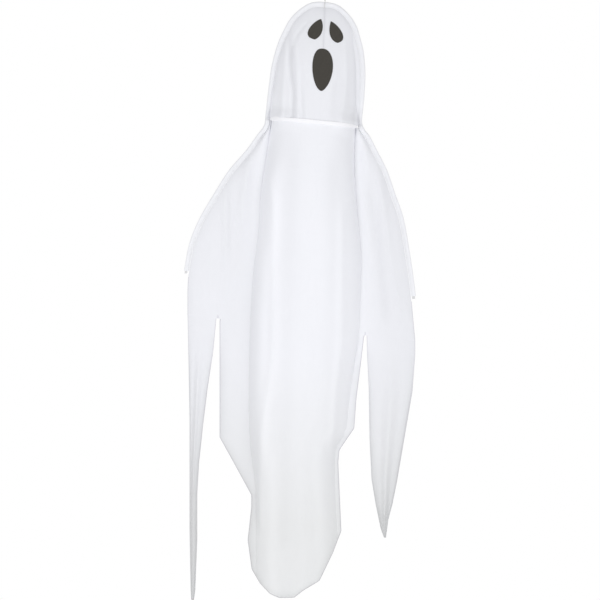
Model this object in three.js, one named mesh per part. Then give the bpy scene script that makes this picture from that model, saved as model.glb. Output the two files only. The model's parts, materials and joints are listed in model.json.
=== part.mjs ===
import * as THREE from 'three';

// A hanging cloth ghost, in millimetres: Z up, X to the viewer's right, the face looking along -Y.
// The origin is the inside top of the cord loop, where a hook carries the whole ghost.
// Left and right are the viewer's. A drop is a distance below the crown of the hood.

// General sizes
const GAP = 0.3;
const CLOTH = 1;
const SEAM = CLOTH / 2 + GAP / 2;
const LEAN = (5.4 * Math.PI) / 180;

// Cord, loop and knots; the loop's sides are shares of its half width and of its height
const CORD_R = 0.8;
const LOOP_WIDTH = 20;
const LOOP_HEIGHT = 30;
const LOOP_MOUTH = 1.3;
const LOOP_SIDES = [[0.8, 0.53], [1, 0.3]];
const KNOT_R = 3.2;
const KNOT_HALF = 4;
const CROWN_KNOT_R = 2.4;
const CROWN_KNOT_HALF = 2.6;
const CROWN_Z = -96;

// Rods, casings and connectors
const ROD_R = 3;
const HOOP_ROD_R = 2.5;
const ROD_PLAY = 0.8;
const CASING_HALF = 9;
const CASING_DEPTH = 5;
const CASING_GAP = 0.6;
const NECK_CASING_R = 4.8;
const ELBOW_R = 8;
const ELBOW_REACH = 20;
const ROD_END_SPACE = 16;
const JOINER_R = 4.3;
const JOINER_LENGTH = 24;
const HOOP_END_SPACE = 2;
const CAP_R = 5;
const CAP_LENGTH = 9;
const CAP_BORE_DEPTH = 6.5;
const TIE_PLAY_TOP = 0.4;
const TIE_PLAY_BOTTOM = 1;
const TIE_PLAY_SIDE = 0.6;
const TIE_OPENING = 0.19;

// Hood: [s, half width] of its outer edge, s being measured down its own leaning axis
const NECK_HALF = 173;
const HOOD_OUTLINE = [[7, 48], [38, 91], [75, 120], [114, 137], [150, 150], [185, 158.5], [242, 167.5],
  [331, 171.5], [418, NECK_HALF]];
const HOOP_S = 431;
const HOOP_SIDE_GAP = 1.2;
const HOOP_HALF = NECK_HALF - 2 * CASING_HALF - NECK_CASING_R - HOOP_SIDE_GAP;
const HOOP_DEPTH = 75;
const HOOD_BULGE = 0.75;
const FACE_TURN = 0.28;
const HOOD_START = 21.5;
const DRAW_IN = 60;
const HOOD_END = HOOP_S - NECK_CASING_R - GAP;

// Outer edge of the shoulders, [drop, x], from the neck to the rod's tip
const LEFT_SHOULDER = [[438, -217], [473, -242], [527, -281], [598, -342], [687, -399], [776, -450],
  [854, -482], [965, -504]];
const RIGHT_SHOULDER = [[456, 143], [473, 157], [527, 185], [598, 221], [684, 251], [765, 279], [883, 301],
  [975, 315], [1056, 325]];

// Edges of the gown's cloth, [drop, x]: below the rods' tips, and below the underarm slits
const LEFT_EDGE = [[988, -486], [1025, -488], [1140, -488]];
const RIGHT_EDGE = [[1074, 308], [1109, 311], [1205, 320]];
const LEFT_BODY = [[1110, -374], [1549, -374], [1652, -317], [1755, -261], [1798, -261], [1915, -274],
  [2019, -260], [2068, -231], [2104, -196], [2118, -164]];
const RIGHT_BODY = [[1180, 139], [1274, 128], [1417, 110], [1517, 103], [1595, 50], [1638, 46], [1883, 57],
  [1958, 28], [2058, -21], [2093, -78], [2118, -110]];

// The gown's middle fold: the valley on each side of it, [drop, x], and its half depth, [drop, y]
const NECK_EDGE = HOOP_S + NECK_CASING_R + GAP;
const neckCorner = (r) => [
  NECK_EDGE * Math.cos(LEAN) + r * Math.sin(LEAN),
  r * Math.cos(LEAN) - NECK_EDGE * Math.sin(LEAN),
];
const LEFT_VALLEY = [neckCorner(-HOOP_HALF), [562, -210], [680, -228], [801, -235], [954, -253], [1168, -267],
  [1417, -271], [1559, -267], [1755, -246], [1890, -246]];
const RIGHT_VALLEY = [neckCorner(HOOP_HALF), [562, 103], [740, 114], [918, 128], [1061, 125], [1189, 119],
  [1310, 100], [1417, 85], [1517, 75], [1602, 36], [1666, 34], [1890, 43]];
const FOLD_DEPTH = [[440, HOOP_DEPTH], [740, 70], [1189, 60], [1549, 46], [1755, 38], [2118, 26]];
const FREE_DROP = 1890;
const GOWN_TURN = 0.16;
const STRIP = 6;

// Two long ridges on the middle fold, and shallow folds on the wings
const RIDGE_HEIGHT = 9;
const RIDGE_PLACE = 0.62;
const RIDGE_START = 560;
const RIDGE_FULL = 1300;
const WING_FOLD = 4;
const WING_FOLD_PITCH = 62;
const WING_FOLD_SHIFT = 9;
const WING_FOLD_FADE = 160;

// Underarm slits: [drop, x] of each one's top, and its two edges as shares of the wing's width
const LEFT_SLIT_TOP = [1127, -381];
const RIGHT_SLIT_TOP = [1187, 143];
const LEFT_SLIT = [0.465, 0.52];
const RIGHT_SLIT = [0.1, 0.14];

// A row of the gown is named by its drop on the cord's line; it leans as the neck does, then levels out
const NECK_ROW = NECK_EDGE / Math.cos(LEAN);
const NECK_SLOPE = Math.tan(LEAN);
const ARM_SLOPE = (RIGHT_SLIT_TOP[0] - LEFT_SLIT_TOP[0]) / (RIGHT_SLIT_TOP[1] - LEFT_SLIT_TOP[1]);
const ARM_ROW = LEFT_SLIT_TOP[0] - ARM_SLOPE * LEFT_SLIT_TOP[1];
const LEVEL_ROW = 1700;
const LAST_ROW = 2118;
const ROW_SLOPE = [[NECK_ROW, NECK_SLOPE], [ARM_ROW, ARM_SLOPE], [LEVEL_ROW, 0]];

// Sleeves: edges as [drop, x], the last drop, and the half depth where they are fullest
const SLEEVE_GAP = 0.7;
const SLEEVE_SWELL = 260;
const SLEEVE_ROUND = 0.4;
const SLEEVE_PLEAT = 0.25;
const SLEEVE_PLEATS = 3;
const LEFT_SLEEVE = {
  outer: [[1110, -488], [1310, -484], [1488, -481], [1880, -481], [2093, -477], [2129, -475]],
  inner: [[1110, -387], [1239, -399], [1381, -420], [1513, -436], [1648, -450], [1755, -456],
    [1915, -456], [2093, -463], [2129, -468]],
  end: 2129,
  depth: 11,
};
const RIGHT_SLEEVE = {
  outer: [[1170, 320], [1246, 320], [1381, 310], [1488, 292], [1595, 274], [1702, 256], [1787, 239],
    [1844, 224], [1906, 216]],
  inner: [[1170, 149], [1260, 151], [1381, 157], [1559, 160], [1702, 167], [1791, 182], [1873, 199],
    [1906, 211]],
  end: 1906,
  depth: 16,
};

// Felt patches: [drop, x] of the pointed end and of the round end. Each side has its greatest width and
// the powers that shape it towards the pointed end and towards the round end
const LEFT_EYE = { tip: [61.9, -13.9], base: [135.3, -38.1], sides: [[30.6, 0.75, 0.3], [17.1, 0.9, 0.75]] };
const RIGHT_EYE = { tip: [69.8, 20.3], base: [147, 46.3], sides: [[18.2, 1.05, 0.7], [25.6, 0.8, 0.35]] };
const MOUTH = { tip: [320, -12.8], base: [168, -10], sides: [[39.2, 0.65, 0.45], [33.9, 0.55, 0.4]] };
const FELT = 1.5;
const PATCH_END = 0.004;
const TACK = { width: 5, thick: 1, height: 16, lift: 10 };

// Mesh fineness
const ROUND_SIDES = 8;
const KNOT_SIDES = 10;
const ARCH_STEPS = 54;
const SHOULDER_STEPS = 32;
const HOOP_STEPS = 58;
const NECK_STEPS = 34;
const NECK_BACK_STEPS = 18;
const CONNECTOR_STEPS = 6;
const LOOP_STEPS = 22;
const TIE_STEPS = 18;
const SAMPLES = 600;
const HOOD_ROWS = 16;
const HALF_FACE_CELLS = 7;
const UPPER_ROWS = 12;
const LOWER_ROWS = 16;
const HOOD_EASE = 1.35;
const HEM_EASE = 1.35;
const NECK_EASE = 1.6;
const FOLD_CELLS = 12;
const LEFT_CELLS = [3, 1, 2];
const RIGHT_CELLS = [1, 1, 4];
const SLEEVE_ROWS = 14;
const SLEEVE_CELLS = 5;
const PATCH_ROWS = 14;
const PATCH_CELLS = 4;
const MEET_STEPS = 20;

const MATERIALS = {
  cord: { color: 0xd8d6d0, roughness: 0.9, metalness: 0 },
  cloth: { color: 0xe9e9ef, roughness: 0.95, metalness: 0 },
  casing: { color: 0xf2f2f5, roughness: 0.95, metalness: 0 },
  rod: { color: 0x8b8d90, roughness: 0.5, metalness: 0 },
  plastic: { color: 0xe4e4e4, roughness: 0.45, metalness: 0 },
  felt: { color: 0x3c3934, roughness: 1, metalness: 0 },
};

const group = new THREE.Group();
group.name = 'hanging_ghost';

function add(name, geometry, material) {
  const mesh = new THREE.Mesh(geometry, new THREE.MeshStandardMaterial(MATERIALS[material]));
  mesh.name = name;
  group.add(mesh);
}

// Reading tables

// A value from a table of [drop, value] pairs, in straight lines between them
function read(table, drop) {
  const last = table.length - 1;
  const within = THREE.MathUtils.clamp(drop, table[0][0], table[last][0]);
  const k = Math.min(table.findIndex((pair) => pair[0] > within), last);
  const next = k < 1 ? last : k;
  const [fromDrop, from] = table[next - 1];
  const [toDrop, to] = table[next];
  return from + ((to - from) * (within - fromDrop)) / (toDrop - fromDrop);
}

// The same along a smooth curve that never overshoots the table
function readSmooth(table, drop) {
  const last = table.length - 1;
  const within = THREE.MathUtils.clamp(drop, table[0][0], table[last][0]);
  const found = table.findIndex((pair) => pair[0] > within);
  const k = (found < 1 ? last : found) - 1;
  const slope = (i) => (table[i + 1][1] - table[i][1]) / (table[i + 1][0] - table[i][0]);
  const bend = (i) => {
    if (i === 0 || i === last) return slope(Math.min(i, last - 1));
    const product = slope(i - 1) * slope(i);
    return product <= 0 ? 0 : (2 * product) / (slope(i - 1) + slope(i));
  };
  const span = table[k + 1][0] - table[k][0];
  const t = (within - table[k][0]) / span;
  const rise = slope(k) * span;
  const early = bend(k) * span - rise;
  const late = rise - bend(k + 1) * span;
  return table[k][1] + rise * t + t * (1 - t) * (early * (1 - t) + late * t);
}

// The leaning hood

// Round the hood and its hoop, the middle of the front lies a quarter turn from the left edge
const CENTRE = Math.PI / 2;

// A point of the hood's frame: r across, y in depth, s down its axis from the crown
function hood(r, y, s) {
  return new THREE.Vector3(
    r * Math.cos(LEAN) - s * Math.sin(LEAN),
    y,
    CROWN_Z - r * Math.sin(LEAN) - s * Math.cos(LEAN),
  );
}

// The other way: [r, s] of a place in the front view
function hoodPlace(x, z) {
  const drop = CROWN_Z - z;
  return [x * Math.cos(LEAN) + drop * Math.sin(LEAN), drop * Math.cos(LEAN) - x * Math.sin(LEAN)];
}

// The rod's line

// The outer edge of the frame, from the left rod's tip over the arch to the right rod's tip
function outerLine() {
  const shoulder = (table) => table.map(([drop, x]) => new THREE.Vector3(x, 0, CROWN_Z - drop));
  const arch = (side) => HOOD_OUTLINE.map(([s, r]) => hood(side * r, 0, s));
  const points = [
    ...shoulder(LEFT_SHOULDER).reverse(),
    ...arch(-1).reverse(),
    hood(0, 0, 0),
    ...arch(1),
    ...shoulder(RIGHT_SHOULDER),
  ];
  return new THREE.CatmullRomCurve3(points, false, 'centripetal');
}

// That line moved towards the inside of the ghost
function inset(line, distance) {
  const points = [];
  for (let i = 0; i <= SAMPLES; i += 1) {
    const along = line.getTangentAt(i / SAMPLES);
    const inward = new THREE.Vector3(along.z, 0, -along.x);
    points.push(line.getPointAt(i / SAMPLES).addScaledVector(inward, distance));
  }
  return new THREE.CatmullRomCurve3(points, false, 'centripetal');
}

const edgeLine = outerLine();
const rodLine = inset(edgeLine, CASING_HALF);
const clothPoints = inset(edgeLine, 2 * CASING_HALF + CASING_GAP).getSpacedPoints(SAMPLES);
const rodLength = rodLine.getLength();

// A stretch of the rod's line, between two lengths along it
class Stretch extends THREE.Curve {
  constructor(from, to) {
    super();
    this.from = from;
    this.to = to;
  }

  getPoint(t, target = new THREE.Vector3()) {
    return target.copy(rodLine.getPointAt((this.from + (this.to - this.from) * t) / rodLength));
  }
}

// The length along the rod's line at which it passes nearest to a shoulder's first point
function neckLength([drop, x]) {
  const corner = new THREE.Vector3(x, 0, CROWN_Z - drop);
  const away = rodLine.getSpacedPoints(SAMPLES).map((point) => point.distanceTo(corner));
  return (rodLength * away.indexOf(Math.min(...away))) / SAMPLES;
}

// Swept and turned shapes

function oval(halfX, halfY) {
  return Array.from({ length: ROUND_SIDES }, (_, i) => {
    const angle = (2 * Math.PI * (i + 0.5)) / ROUND_SIDES;
    return new THREE.Vector2(halfX * Math.cos(angle), halfY * Math.sin(angle));
  });
}

// A rod, or with a bore a channel, along a line; its second half size lies in the line's plane
function swept(line, steps, halfX, halfY, boreR = 0) {
  const shape = new THREE.Shape(oval(halfX, halfY));
  if (boreR > 0) shape.holes.push(new THREE.Path(oval(boreR, boreR)));
  return new THREE.ExtrudeGeometry(shape, { steps, bevelEnabled: false, extrudePath: line });
}

function knot(radius, half, z) {
  const profile = Array.from({ length: ROUND_SIDES + 1 }, (_, i) => {
    const angle = (Math.PI * i) / ROUND_SIDES;
    const end = i === 0 || i === ROUND_SIDES;
    return new THREE.Vector2(end ? 0 : radius * Math.sin(angle), -half * Math.cos(angle));
  });
  return new THREE.LatheGeometry(profile, KNOT_SIDES).rotateX(Math.PI / 2).translate(0, 0, z);
}

// Cloth

// A closed solid from a grid of points, its two faces half a step to each side of them
function solidFrom(grid, halfStep, keep) {
  const columns = grid[0].length;
  const kept = (j, i) => j >= 0 && i >= 0 && j < grid.length - 1 && i < columns - 1 && keep(j, i);
  const positions = [];
  const index = [];
  const numbers = new Map();
  const vertex = ([j, i], side) => {
    const key = `${j} ${i} ${side}`;
    if (!numbers.has(key)) {
      numbers.set(key, positions.length);
      positions.push(grid[j][i].clone().addScaledVector(halfStep(j, i), side));
    }
    return numbers.get(key);
  };
  for (let j = 0; j < grid.length - 1; j += 1) {
    for (let i = 0; i < columns - 1; i += 1) {
      if (kept(j, i)) {
        const corners = [[j, i], [j + 1, i], [j + 1, i + 1], [j, i + 1]];
        const beyond = [[j, i - 1], [j + 1, i], [j, i + 1], [j - 1, i]];
        const near = corners.map((corner) => vertex(corner, -1));
        const far = corners.map((corner) => vertex(corner, 1));
        index.push(near[0], near[1], near[2], near[0], near[2], near[3]);
        index.push(far[0], far[2], far[1], far[0], far[3], far[2]);
        beyond.forEach(([b, a], k) => {
          const next = (k + 1) % corners.length;
          if (!kept(b, a)) index.push(near[next], near[k], far[k], near[next], far[k], far[next]);
        });
      }
    }
  }
  const geometry = new THREE.BufferGeometry().setFromPoints(positions);
  geometry.setIndex(index);
  geometry.computeVertexNormals();
  return geometry;
}

// A cloth of even thickness: each point is thickened along the mean normal of its cells
function clothFrom(grid, keep = () => true) {
  const normals = grid.map((row) => row.map(() => new THREE.Vector3()));
  for (let j = 0; j < grid.length - 1; j += 1) {
    for (let i = 0; i < grid[j].length - 1; i += 1) {
      if (keep(j, i)) {
        const falling = grid[j + 1][i + 1].clone().sub(grid[j][i]);
        const rising = grid[j + 1][i].clone().sub(grid[j][i + 1]);
        const normal = falling.cross(rising).normalize();
        [normals[j][i], normals[j + 1][i], normals[j + 1][i + 1], normals[j][i + 1]].forEach(
          (sum) => sum.add(normal),
        );
      }
    }
  }
  normals.flat().forEach((sum) => sum.setLength(CLOTH / 2));
  return solidFrom(grid, (j, i) => normals[j][i], keep);
}

// The hood's cloth

// [s, r] of the arch's inner edge on the right side
const hoodEdge = clothPoints
  .map((point) => hoodPlace(point.x, point.z))
  .filter(([r, s]) => r > 0 && s < HOOP_S)
  .map(([r, s]) => [s, r]);

// Half width of the hood's cloth, drawing in to the hoop at the neck
function hoodHalf(s) {
  const beside = read(hoodEdge, s) - CLOTH / 2;
  return THREE.MathUtils.lerp(beside, HOOP_HALF, THREE.MathUtils.smoothstep(s, HOOP_S - DRAW_IN, HOOP_S));
}

function hoodBulge(s) {
  return HOOP_DEPTH * (s / HOOP_S) ** HOOD_BULGE;
}

// A point round the hood: the angle runs from its left edge to its right one, the front turned sideways
function hoodRound(angle, s, facing, half, bulge) {
  const turn = -facing * FACE_TURN * bulge;
  const reach = angle < CENTRE ? half + turn : half - turn;
  return [turn - reach * Math.cos(angle), facing * bulge * Math.sin(angle), s];
}

function hoodPanel(fromAngle, toAngle, cells, facing, apart) {
  const grid = Array.from({ length: HOOD_ROWS + 1 }, (_, j) => {
    const s = HOOD_START + (HOOD_END - HOOD_START) * (j / HOOD_ROWS) ** HOOD_EASE;
    return Array.from({ length: cells + 1 }, (__, i) => {
      const angle = fromAngle + ((toAngle - fromAngle) * i) / cells;
      const [r, y] = hoodRound(angle, s, facing, hoodHalf(s), hoodBulge(s) - SEAM);
      return hood(r + apart * Math.sin(angle), y + facing * SEAM, s);
    });
  });
  return clothFrom(grid);
}

// Depth of the face's cloth at a place in the front view
function faceDepth(x, z) {
  const [r, s] = hoodPlace(x, z);
  const turn = FACE_TURN * (hoodBulge(s) - SEAM);
  const share = (r - turn) / (r < turn ? hoodHalf(s) + turn : hoodHalf(s) - turn);
  return SEAM + (hoodBulge(s) - SEAM) * Math.sqrt(1 - share * share);
}

// The neck hoop, from one angle to another: its front is 0 to half a turn, from left to right
class Hoop extends THREE.Curve {
  constructor(from, to) {
    super();
    this.from = from;
    this.to = to;
  }

  getPoint(t, target = new THREE.Vector3()) {
    const turn = (this.from + (this.to - this.from) * t + 2 * Math.PI) % (2 * Math.PI);
    const angle = Math.min(turn, 2 * Math.PI - turn);
    return target.copy(hood(...hoodRound(angle, HOOP_S, turn < Math.PI ? -1 : 1, HOOP_HALF, HOOP_DEPTH)));
  }
}

// The gown's cloth

function zAt(row, x) {
  return CROWN_Z - row - read(ROW_SLOPE, row) * x;
}

// [drop, x] down the inner edge of one side's shoulder, and on below the rod's tip
function wingTable(side, below) {
  const beside = clothPoints
    .map((point) => [CROWN_Z - point.z, point.x])
    .filter(([drop, x]) => drop > HOOP_S / 2 && drop < below[0][0] && side * (x + NECK_SLOPE * drop) > 0);
  return [...(side < 0 ? beside.reverse() : beside), ...below];
}

const LEFT_WING = wingTable(-1, LEFT_EDGE);
const RIGHT_WING = wingTable(1, RIGHT_EDGE);

// The x at which a row meets an edge
function meet(table, row, reader = read) {
  let x = reader(table, row);
  for (let i = 0; i < MEET_STEPS; i += 1) {
    x = (x + reader(table, CROWN_Z - zAt(row, x))) / 2;
  }
  return x;
}

// Shallow folds of a wing, with none at its edges and none at the underarm
function wingFold(x, drop, outer, inner, slitTop, facing) {
  const share = THREE.MathUtils.clamp((x - outer) / (inner - outer), 0, 1);
  const fade = Math.sin(Math.PI * share) * THREE.MathUtils.smoothstep(slitTop - drop, 0, WING_FOLD_FADE);
  return WING_FOLD * fade * (1 + Math.sin((2 * Math.PI * (x + facing * WING_FOLD_SHIFT)) / WING_FOLD_PITCH));
}

// Depth of the gown's cloth at a place in the front view
function gownDepth(x, z, facing) {
  const drop = CROWN_Z - z;
  const left = readSmooth(LEFT_VALLEY, drop);
  const right = readSmooth(RIGHT_VALLEY, drop);
  if (x <= left) return SEAM + wingFold(x, drop, read(LEFT_WING, drop), left, LEFT_SLIT_TOP[0], facing);
  if (x >= right) return SEAM + wingFold(x, drop, read(RIGHT_WING, drop), right, RIGHT_SLIT_TOP[0], facing);
  const crest = (left + right) / 2 - (facing * GOWN_TURN * (right - left)) / 2;
  const share = (x - crest) / (x < crest ? crest - left : right - crest);
  const arch = Math.sqrt(1 - share * share);
  const ridge = RIDGE_HEIGHT * THREE.MathUtils.smoothstep(drop, RIDGE_START, RIDGE_FULL);
  return SEAM + arch * (readSmooth(FOLD_DEPTH, drop) - ridge * Math.cos((Math.PI * share) / RIDGE_PLACE));
}

function spread(from, to, cells) {
  return Array.from({ length: cells }, (_, i) => from + ((to - from) * (i + 1)) / cells);
}

// The x of each column: left sleeve, slit and strip, middle fold, right strip, slit and sleeve
function gownRow(row) {
  const upper = row <= ARM_ROW;
  const leftEdge = meet(LEFT_WING, row);
  const rightEdge = meet(RIGHT_WING, row);
  const leftBody = meet(LEFT_BODY, row);
  const rightBody = meet(RIGHT_BODY, row);
  const folded = Math.min(row, FREE_DROP);
  const leftMost = upper ? -Infinity : leftBody + STRIP;
  const rightMost = upper ? Infinity : rightBody - STRIP;
  const left = Math.max(meet(LEFT_VALLEY, folded, readSmooth), leftMost);
  const right = Math.min(meet(RIGHT_VALLEY, folded, readSmooth), rightMost);
  const [leftOut, leftIn] = LEFT_SLIT.map((share) => leftEdge + (left - leftEdge) * share);
  const [rightIn, rightOut] = RIGHT_SLIT.map((share) => right + (rightEdge - right) * share);
  const leftSlit = upper ? leftIn : leftBody;
  const rightSlit = upper ? rightIn : rightBody;
  const middle = Array.from({ length: FOLD_CELLS }, (_, i) => {
    const angle = (Math.PI * (i + 1)) / FOLD_CELLS;
    return (left + right) / 2 - ((right - left) / 2) * Math.cos(angle);
  });
  return [
    leftEdge,
    ...spread(leftEdge, leftOut, LEFT_CELLS[0]),
    ...spread(leftOut, leftSlit, LEFT_CELLS[1]),
    ...spread(leftSlit, left, LEFT_CELLS[2]),
    ...middle,
    ...spread(right, rightSlit, RIGHT_CELLS[0]),
    ...spread(rightSlit, rightOut, RIGHT_CELLS[1]),
    ...spread(rightOut, rightEdge, RIGHT_CELLS[2]),
  ];
}

function gownPanel(facing) {
  const upperRows = Array.from({ length: UPPER_ROWS }, (_, j) => NECK_ROW
    + (ARM_ROW - NECK_ROW) * (j / UPPER_ROWS) ** NECK_EASE);
  const lowerRows = Array.from({ length: LOWER_ROWS + 1 }, (_, j) => LAST_ROW
    - (LAST_ROW - ARM_ROW) * (1 - j / LOWER_ROWS) ** HEM_EASE);
  const grid = [...upperRows, ...lowerRows].map((row) => gownRow(row).map((x) => {
    const z = zAt(row, x);
    return new THREE.Vector3(x, facing * gownDepth(x, z, facing), z);
  }));
  const first = LEFT_CELLS[0] + LEFT_CELLS[1];
  const beyond = first + LEFT_CELLS[2] + FOLD_CELLS + RIGHT_CELLS[0];
  return clothFrom(grid, (j, i) => j < UPPER_ROWS || (i >= first && i < beyond));
}

// A sleeve hangs from the gown's arm row, flat at the top so that it can swing there
function sleevePanel({ outer, inner, end, depth }, facing) {
  const middle = (meet(outer, ARM_ROW) + meet(inner, ARM_ROW)) / 2;
  const start = CROWN_Z - zAt(ARM_ROW, middle) + SLEEVE_GAP;
  const grid = Array.from({ length: SLEEVE_ROWS + 1 }, (_, j) => {
    const drop = start + ((end - start) * j) / SLEEVE_ROWS;
    const lean = ARM_SLOPE * (1 - j / SLEEVE_ROWS);
    const edges = [read(outer, drop), read(inner, drop)].sort((a, b) => a - b);
    const width = edges[1] - edges[0];
    const full = Math.min(depth, SLEEVE_ROUND * width)
      * THREE.MathUtils.smoothstep(drop - start, 0, SLEEVE_SWELL);
    return Array.from({ length: SLEEVE_CELLS + 1 }, (__, i) => {
      const share = i / SLEEVE_CELLS;
      const x = edges[0] + width * share;
      const fold = Math.sin(Math.PI * share) + facing * SLEEVE_PLEAT * Math.sin(SLEEVE_PLEATS * Math.PI * share);
      return new THREE.Vector3(x, facing * (SEAM + full * fold), CROWN_Z - drop - lean * (x - middle));
    });
  });
  return clothFrom(grid);
}

// Felt patches and stitched tacks

// Width of one side of a patch at a share of the way from its tip to its base
function sideWidth(share, [width, point, round]) {
  const fullest = point / (point + round);
  return width * (share / fullest) ** point * ((1 - share) / (1 - fullest)) ** round;
}

// An egg or drop shape lying on the face's cloth, pointed at its tip
function patch({ tip, base, sides }) {
  const length = Math.hypot(base[0] - tip[0], base[1] - tip[1]);
  const along = [(base[1] - tip[1]) / length, -(base[0] - tip[0]) / length];
  const grid = Array.from({ length: PATCH_ROWS + 1 }, (_, j) => {
    const share = (1 - (1 - 2 * PATCH_END) * Math.cos((Math.PI * j) / PATCH_ROWS)) / 2;
    const [first, second] = sides.map((side) => sideWidth(share, side));
    return Array.from({ length: PATCH_CELLS + 1 }, (__, i) => {
      const across = THREE.MathUtils.lerp(-first, second, i / PATCH_CELLS);
      const x = tip[1] + along[0] * length * share - along[1] * across;
      const z = CROWN_Z - tip[0] + along[1] * length * share + along[0] * across;
      return new THREE.Vector3(x, -faceDepth(x, z) - CLOTH / 2 - GAP - FELT / 2, z);
    });
  });
  const halfStep = new THREE.Vector3(0, FELT / 2, 0);
  return solidFrom(grid, () => halfStep, () => true);
}

function tack([drop, x]) {
  const y = -SEAM - CLOTH / 2 - GAP - TACK.thick;
  return new THREE.BoxGeometry(TACK.width, TACK.thick, TACK.height)
    .translate(x, y, CROWN_Z - drop + TACK.lift);
}

// The cord, with its loop's inside top at the origin, down to the eye round the crown

function hangLoop() {
  const sides = LOOP_SIDES.map(([across, down]) => [(across * LOOP_WIDTH) / 2, -down * LOOP_HEIGHT]);
  const right = [[LOOP_MOUTH, GAP - LOOP_HEIGHT], ...sides];
  const left = right.map(([x, z]) => [-x, z]).reverse();
  const points = [...right, [0, CORD_R], ...left].map(([x, z]) => new THREE.Vector3(x, 0, z));
  return new THREE.CatmullRomCurve3(points);
}

const KNOT_Z = -LOOP_HEIGHT - KNOT_HALF;
const CROWN_KNOT_Z = CROWN_Z + TIE_PLAY_TOP + 2 * CORD_R + GAP + CROWN_KNOT_HALF;

// The eye hangs round the casing from just under the crown knot, open where it enters the knot
class Tie extends THREE.Curve {
  getPoint(t, target = new THREE.Vector3()) {
    const top = -TIE_PLAY_TOP - CORD_R;
    const bottom = 2 * CASING_HALF + TIE_PLAY_BOTTOM + CORD_R;
    const angle = TIE_OPENING + 2 * (Math.PI - TIE_OPENING) * t;
    const half = CASING_DEPTH + TIE_PLAY_SIDE + CORD_R;
    const s = (top + bottom) / 2 - ((bottom - top) / 2) * Math.cos(angle);
    return target.copy(hood(0, half * Math.sin(angle), s));
  }
}

add('hang_loop', swept(hangLoop(), LOOP_STEPS, CORD_R, CORD_R), 'cord');
add('loop_knot', knot(KNOT_R, KNOT_HALF, KNOT_Z), 'cord');
const cordLine = new THREE.LineCurve3(
  new THREE.Vector3(0, 0, KNOT_Z - KNOT_HALF - GAP),
  new THREE.Vector3(0, 0, CROWN_KNOT_Z + CROWN_KNOT_HALF + GAP),
);
add('hang_cord', swept(cordLine, 1, CORD_R, CORD_R), 'cord');
add('crown_knot', knot(CROWN_KNOT_R, CROWN_KNOT_HALF, CROWN_KNOT_Z), 'cord');
add('crown_tie', swept(new Tie(), TIE_STEPS, CORD_R, CORD_R), 'cord');

// The frame: arch, hoop and shoulders

const leftNeck = neckLength(LEFT_SHOULDER[0]);
const rightNeck = neckLength(RIGHT_SHOULDER[0]);
const bore = ROD_R + ROD_PLAY;
const archEnd = ELBOW_REACH + GAP;
const rodEnd = ROD_END_SPACE / 2;
const capStart = CAP_LENGTH - CAP_BORE_DEPTH + GAP;

function rod(name, from, to, steps) {
  add(name, swept(new Stretch(from, to), steps, ROD_R, ROD_R), 'rod');
}

function channel(name, from, to, steps) {
  add(name, swept(new Stretch(from, to), steps, CASING_DEPTH, CASING_HALF, bore), 'casing');
}

rod('head_arch_rod', leftNeck + rodEnd, rightNeck - rodEnd, ARCH_STEPS);
channel('head_casing', leftNeck + archEnd, rightNeck - archEnd, ARCH_STEPS);
rod('left_shoulder_rod', capStart, leftNeck - rodEnd, SHOULDER_STEPS);
channel('left_shoulder_casing', CAP_LENGTH + GAP, leftNeck - archEnd, SHOULDER_STEPS);
rod('right_shoulder_rod', rightNeck + rodEnd, rodLength - capStart, SHOULDER_STEPS);
channel('right_shoulder_casing', rightNeck + archEnd, rodLength - CAP_LENGTH - GAP, SHOULDER_STEPS);

function elbow(name, neck) {
  const line = new Stretch(neck - ELBOW_REACH, neck + ELBOW_REACH);
  add(name, swept(line, CONNECTOR_STEPS, ELBOW_R, ELBOW_R, bore), 'plastic');
}

elbow('left_elbow', leftNeck);
elbow('right_elbow', rightNeck);

function rodCap(name, at, side) {
  const profile = [[0, 0], [CAP_R, 0], [CAP_R, CAP_LENGTH], [bore, CAP_LENGTH],
    [bore, CAP_LENGTH - CAP_BORE_DEPTH], [0, CAP_LENGTH - CAP_BORE_DEPTH]];
  const cap = new THREE.LatheGeometry(profile.map(([r, y]) => new THREE.Vector2(r, y)), KNOT_SIDES);
  const inward = rodLine.getTangentAt(at).multiplyScalar(side);
  const turn = new THREE.Quaternion().setFromUnitVectors(new THREE.Vector3(0, 1, 0), inward);
  const tip = rodLine.getPointAt(at);
  add(name, cap.applyQuaternion(turn).translate(tip.x, tip.y, tip.z), 'plastic');
}

rodCap('left_rod_cap', 0, 1);
rodCap('right_rod_cap', 1, -1);

const hoopBore = HOOP_ROD_R + ROD_PLAY;
const endTurn = HOOP_END_SPACE / 2 / HOOP_HALF;
const joinerTurn = JOINER_LENGTH / 2 / HOOP_HALF;
const casingTurn = joinerTurn + GAP / HOOP_HALF;
const sideTurn = GAP / 2 / HOOP_DEPTH;

function neckCasing(name, from, to, steps) {
  const line = new Hoop(from, to);
  add(name, swept(line, steps, NECK_CASING_R, NECK_CASING_R, hoopBore), 'casing');
}

const hoopLine = new Hoop(endTurn - CENTRE, Math.PI + CENTRE - endTurn);
add('neck_hoop', swept(hoopLine, HOOP_STEPS, HOOP_ROD_R, HOOP_ROD_R), 'rod');
const joinerLine = new Hoop(Math.PI + CENTRE - joinerTurn, Math.PI + CENTRE + joinerTurn);
add('hoop_joiner', swept(joinerLine, CONNECTOR_STEPS, JOINER_R, JOINER_R, hoopBore), 'plastic');
neckCasing('neck_casing_front', sideTurn, Math.PI - sideTurn, NECK_STEPS);
neckCasing('neck_casing_back_left', casingTurn - CENTRE, -sideTurn, NECK_BACK_STEPS);
neckCasing('neck_casing_back_right', Math.PI + sideTurn, Math.PI + CENTRE - casingTurn, NECK_BACK_STEPS);

// The cloth, and what is sewn on it

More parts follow.
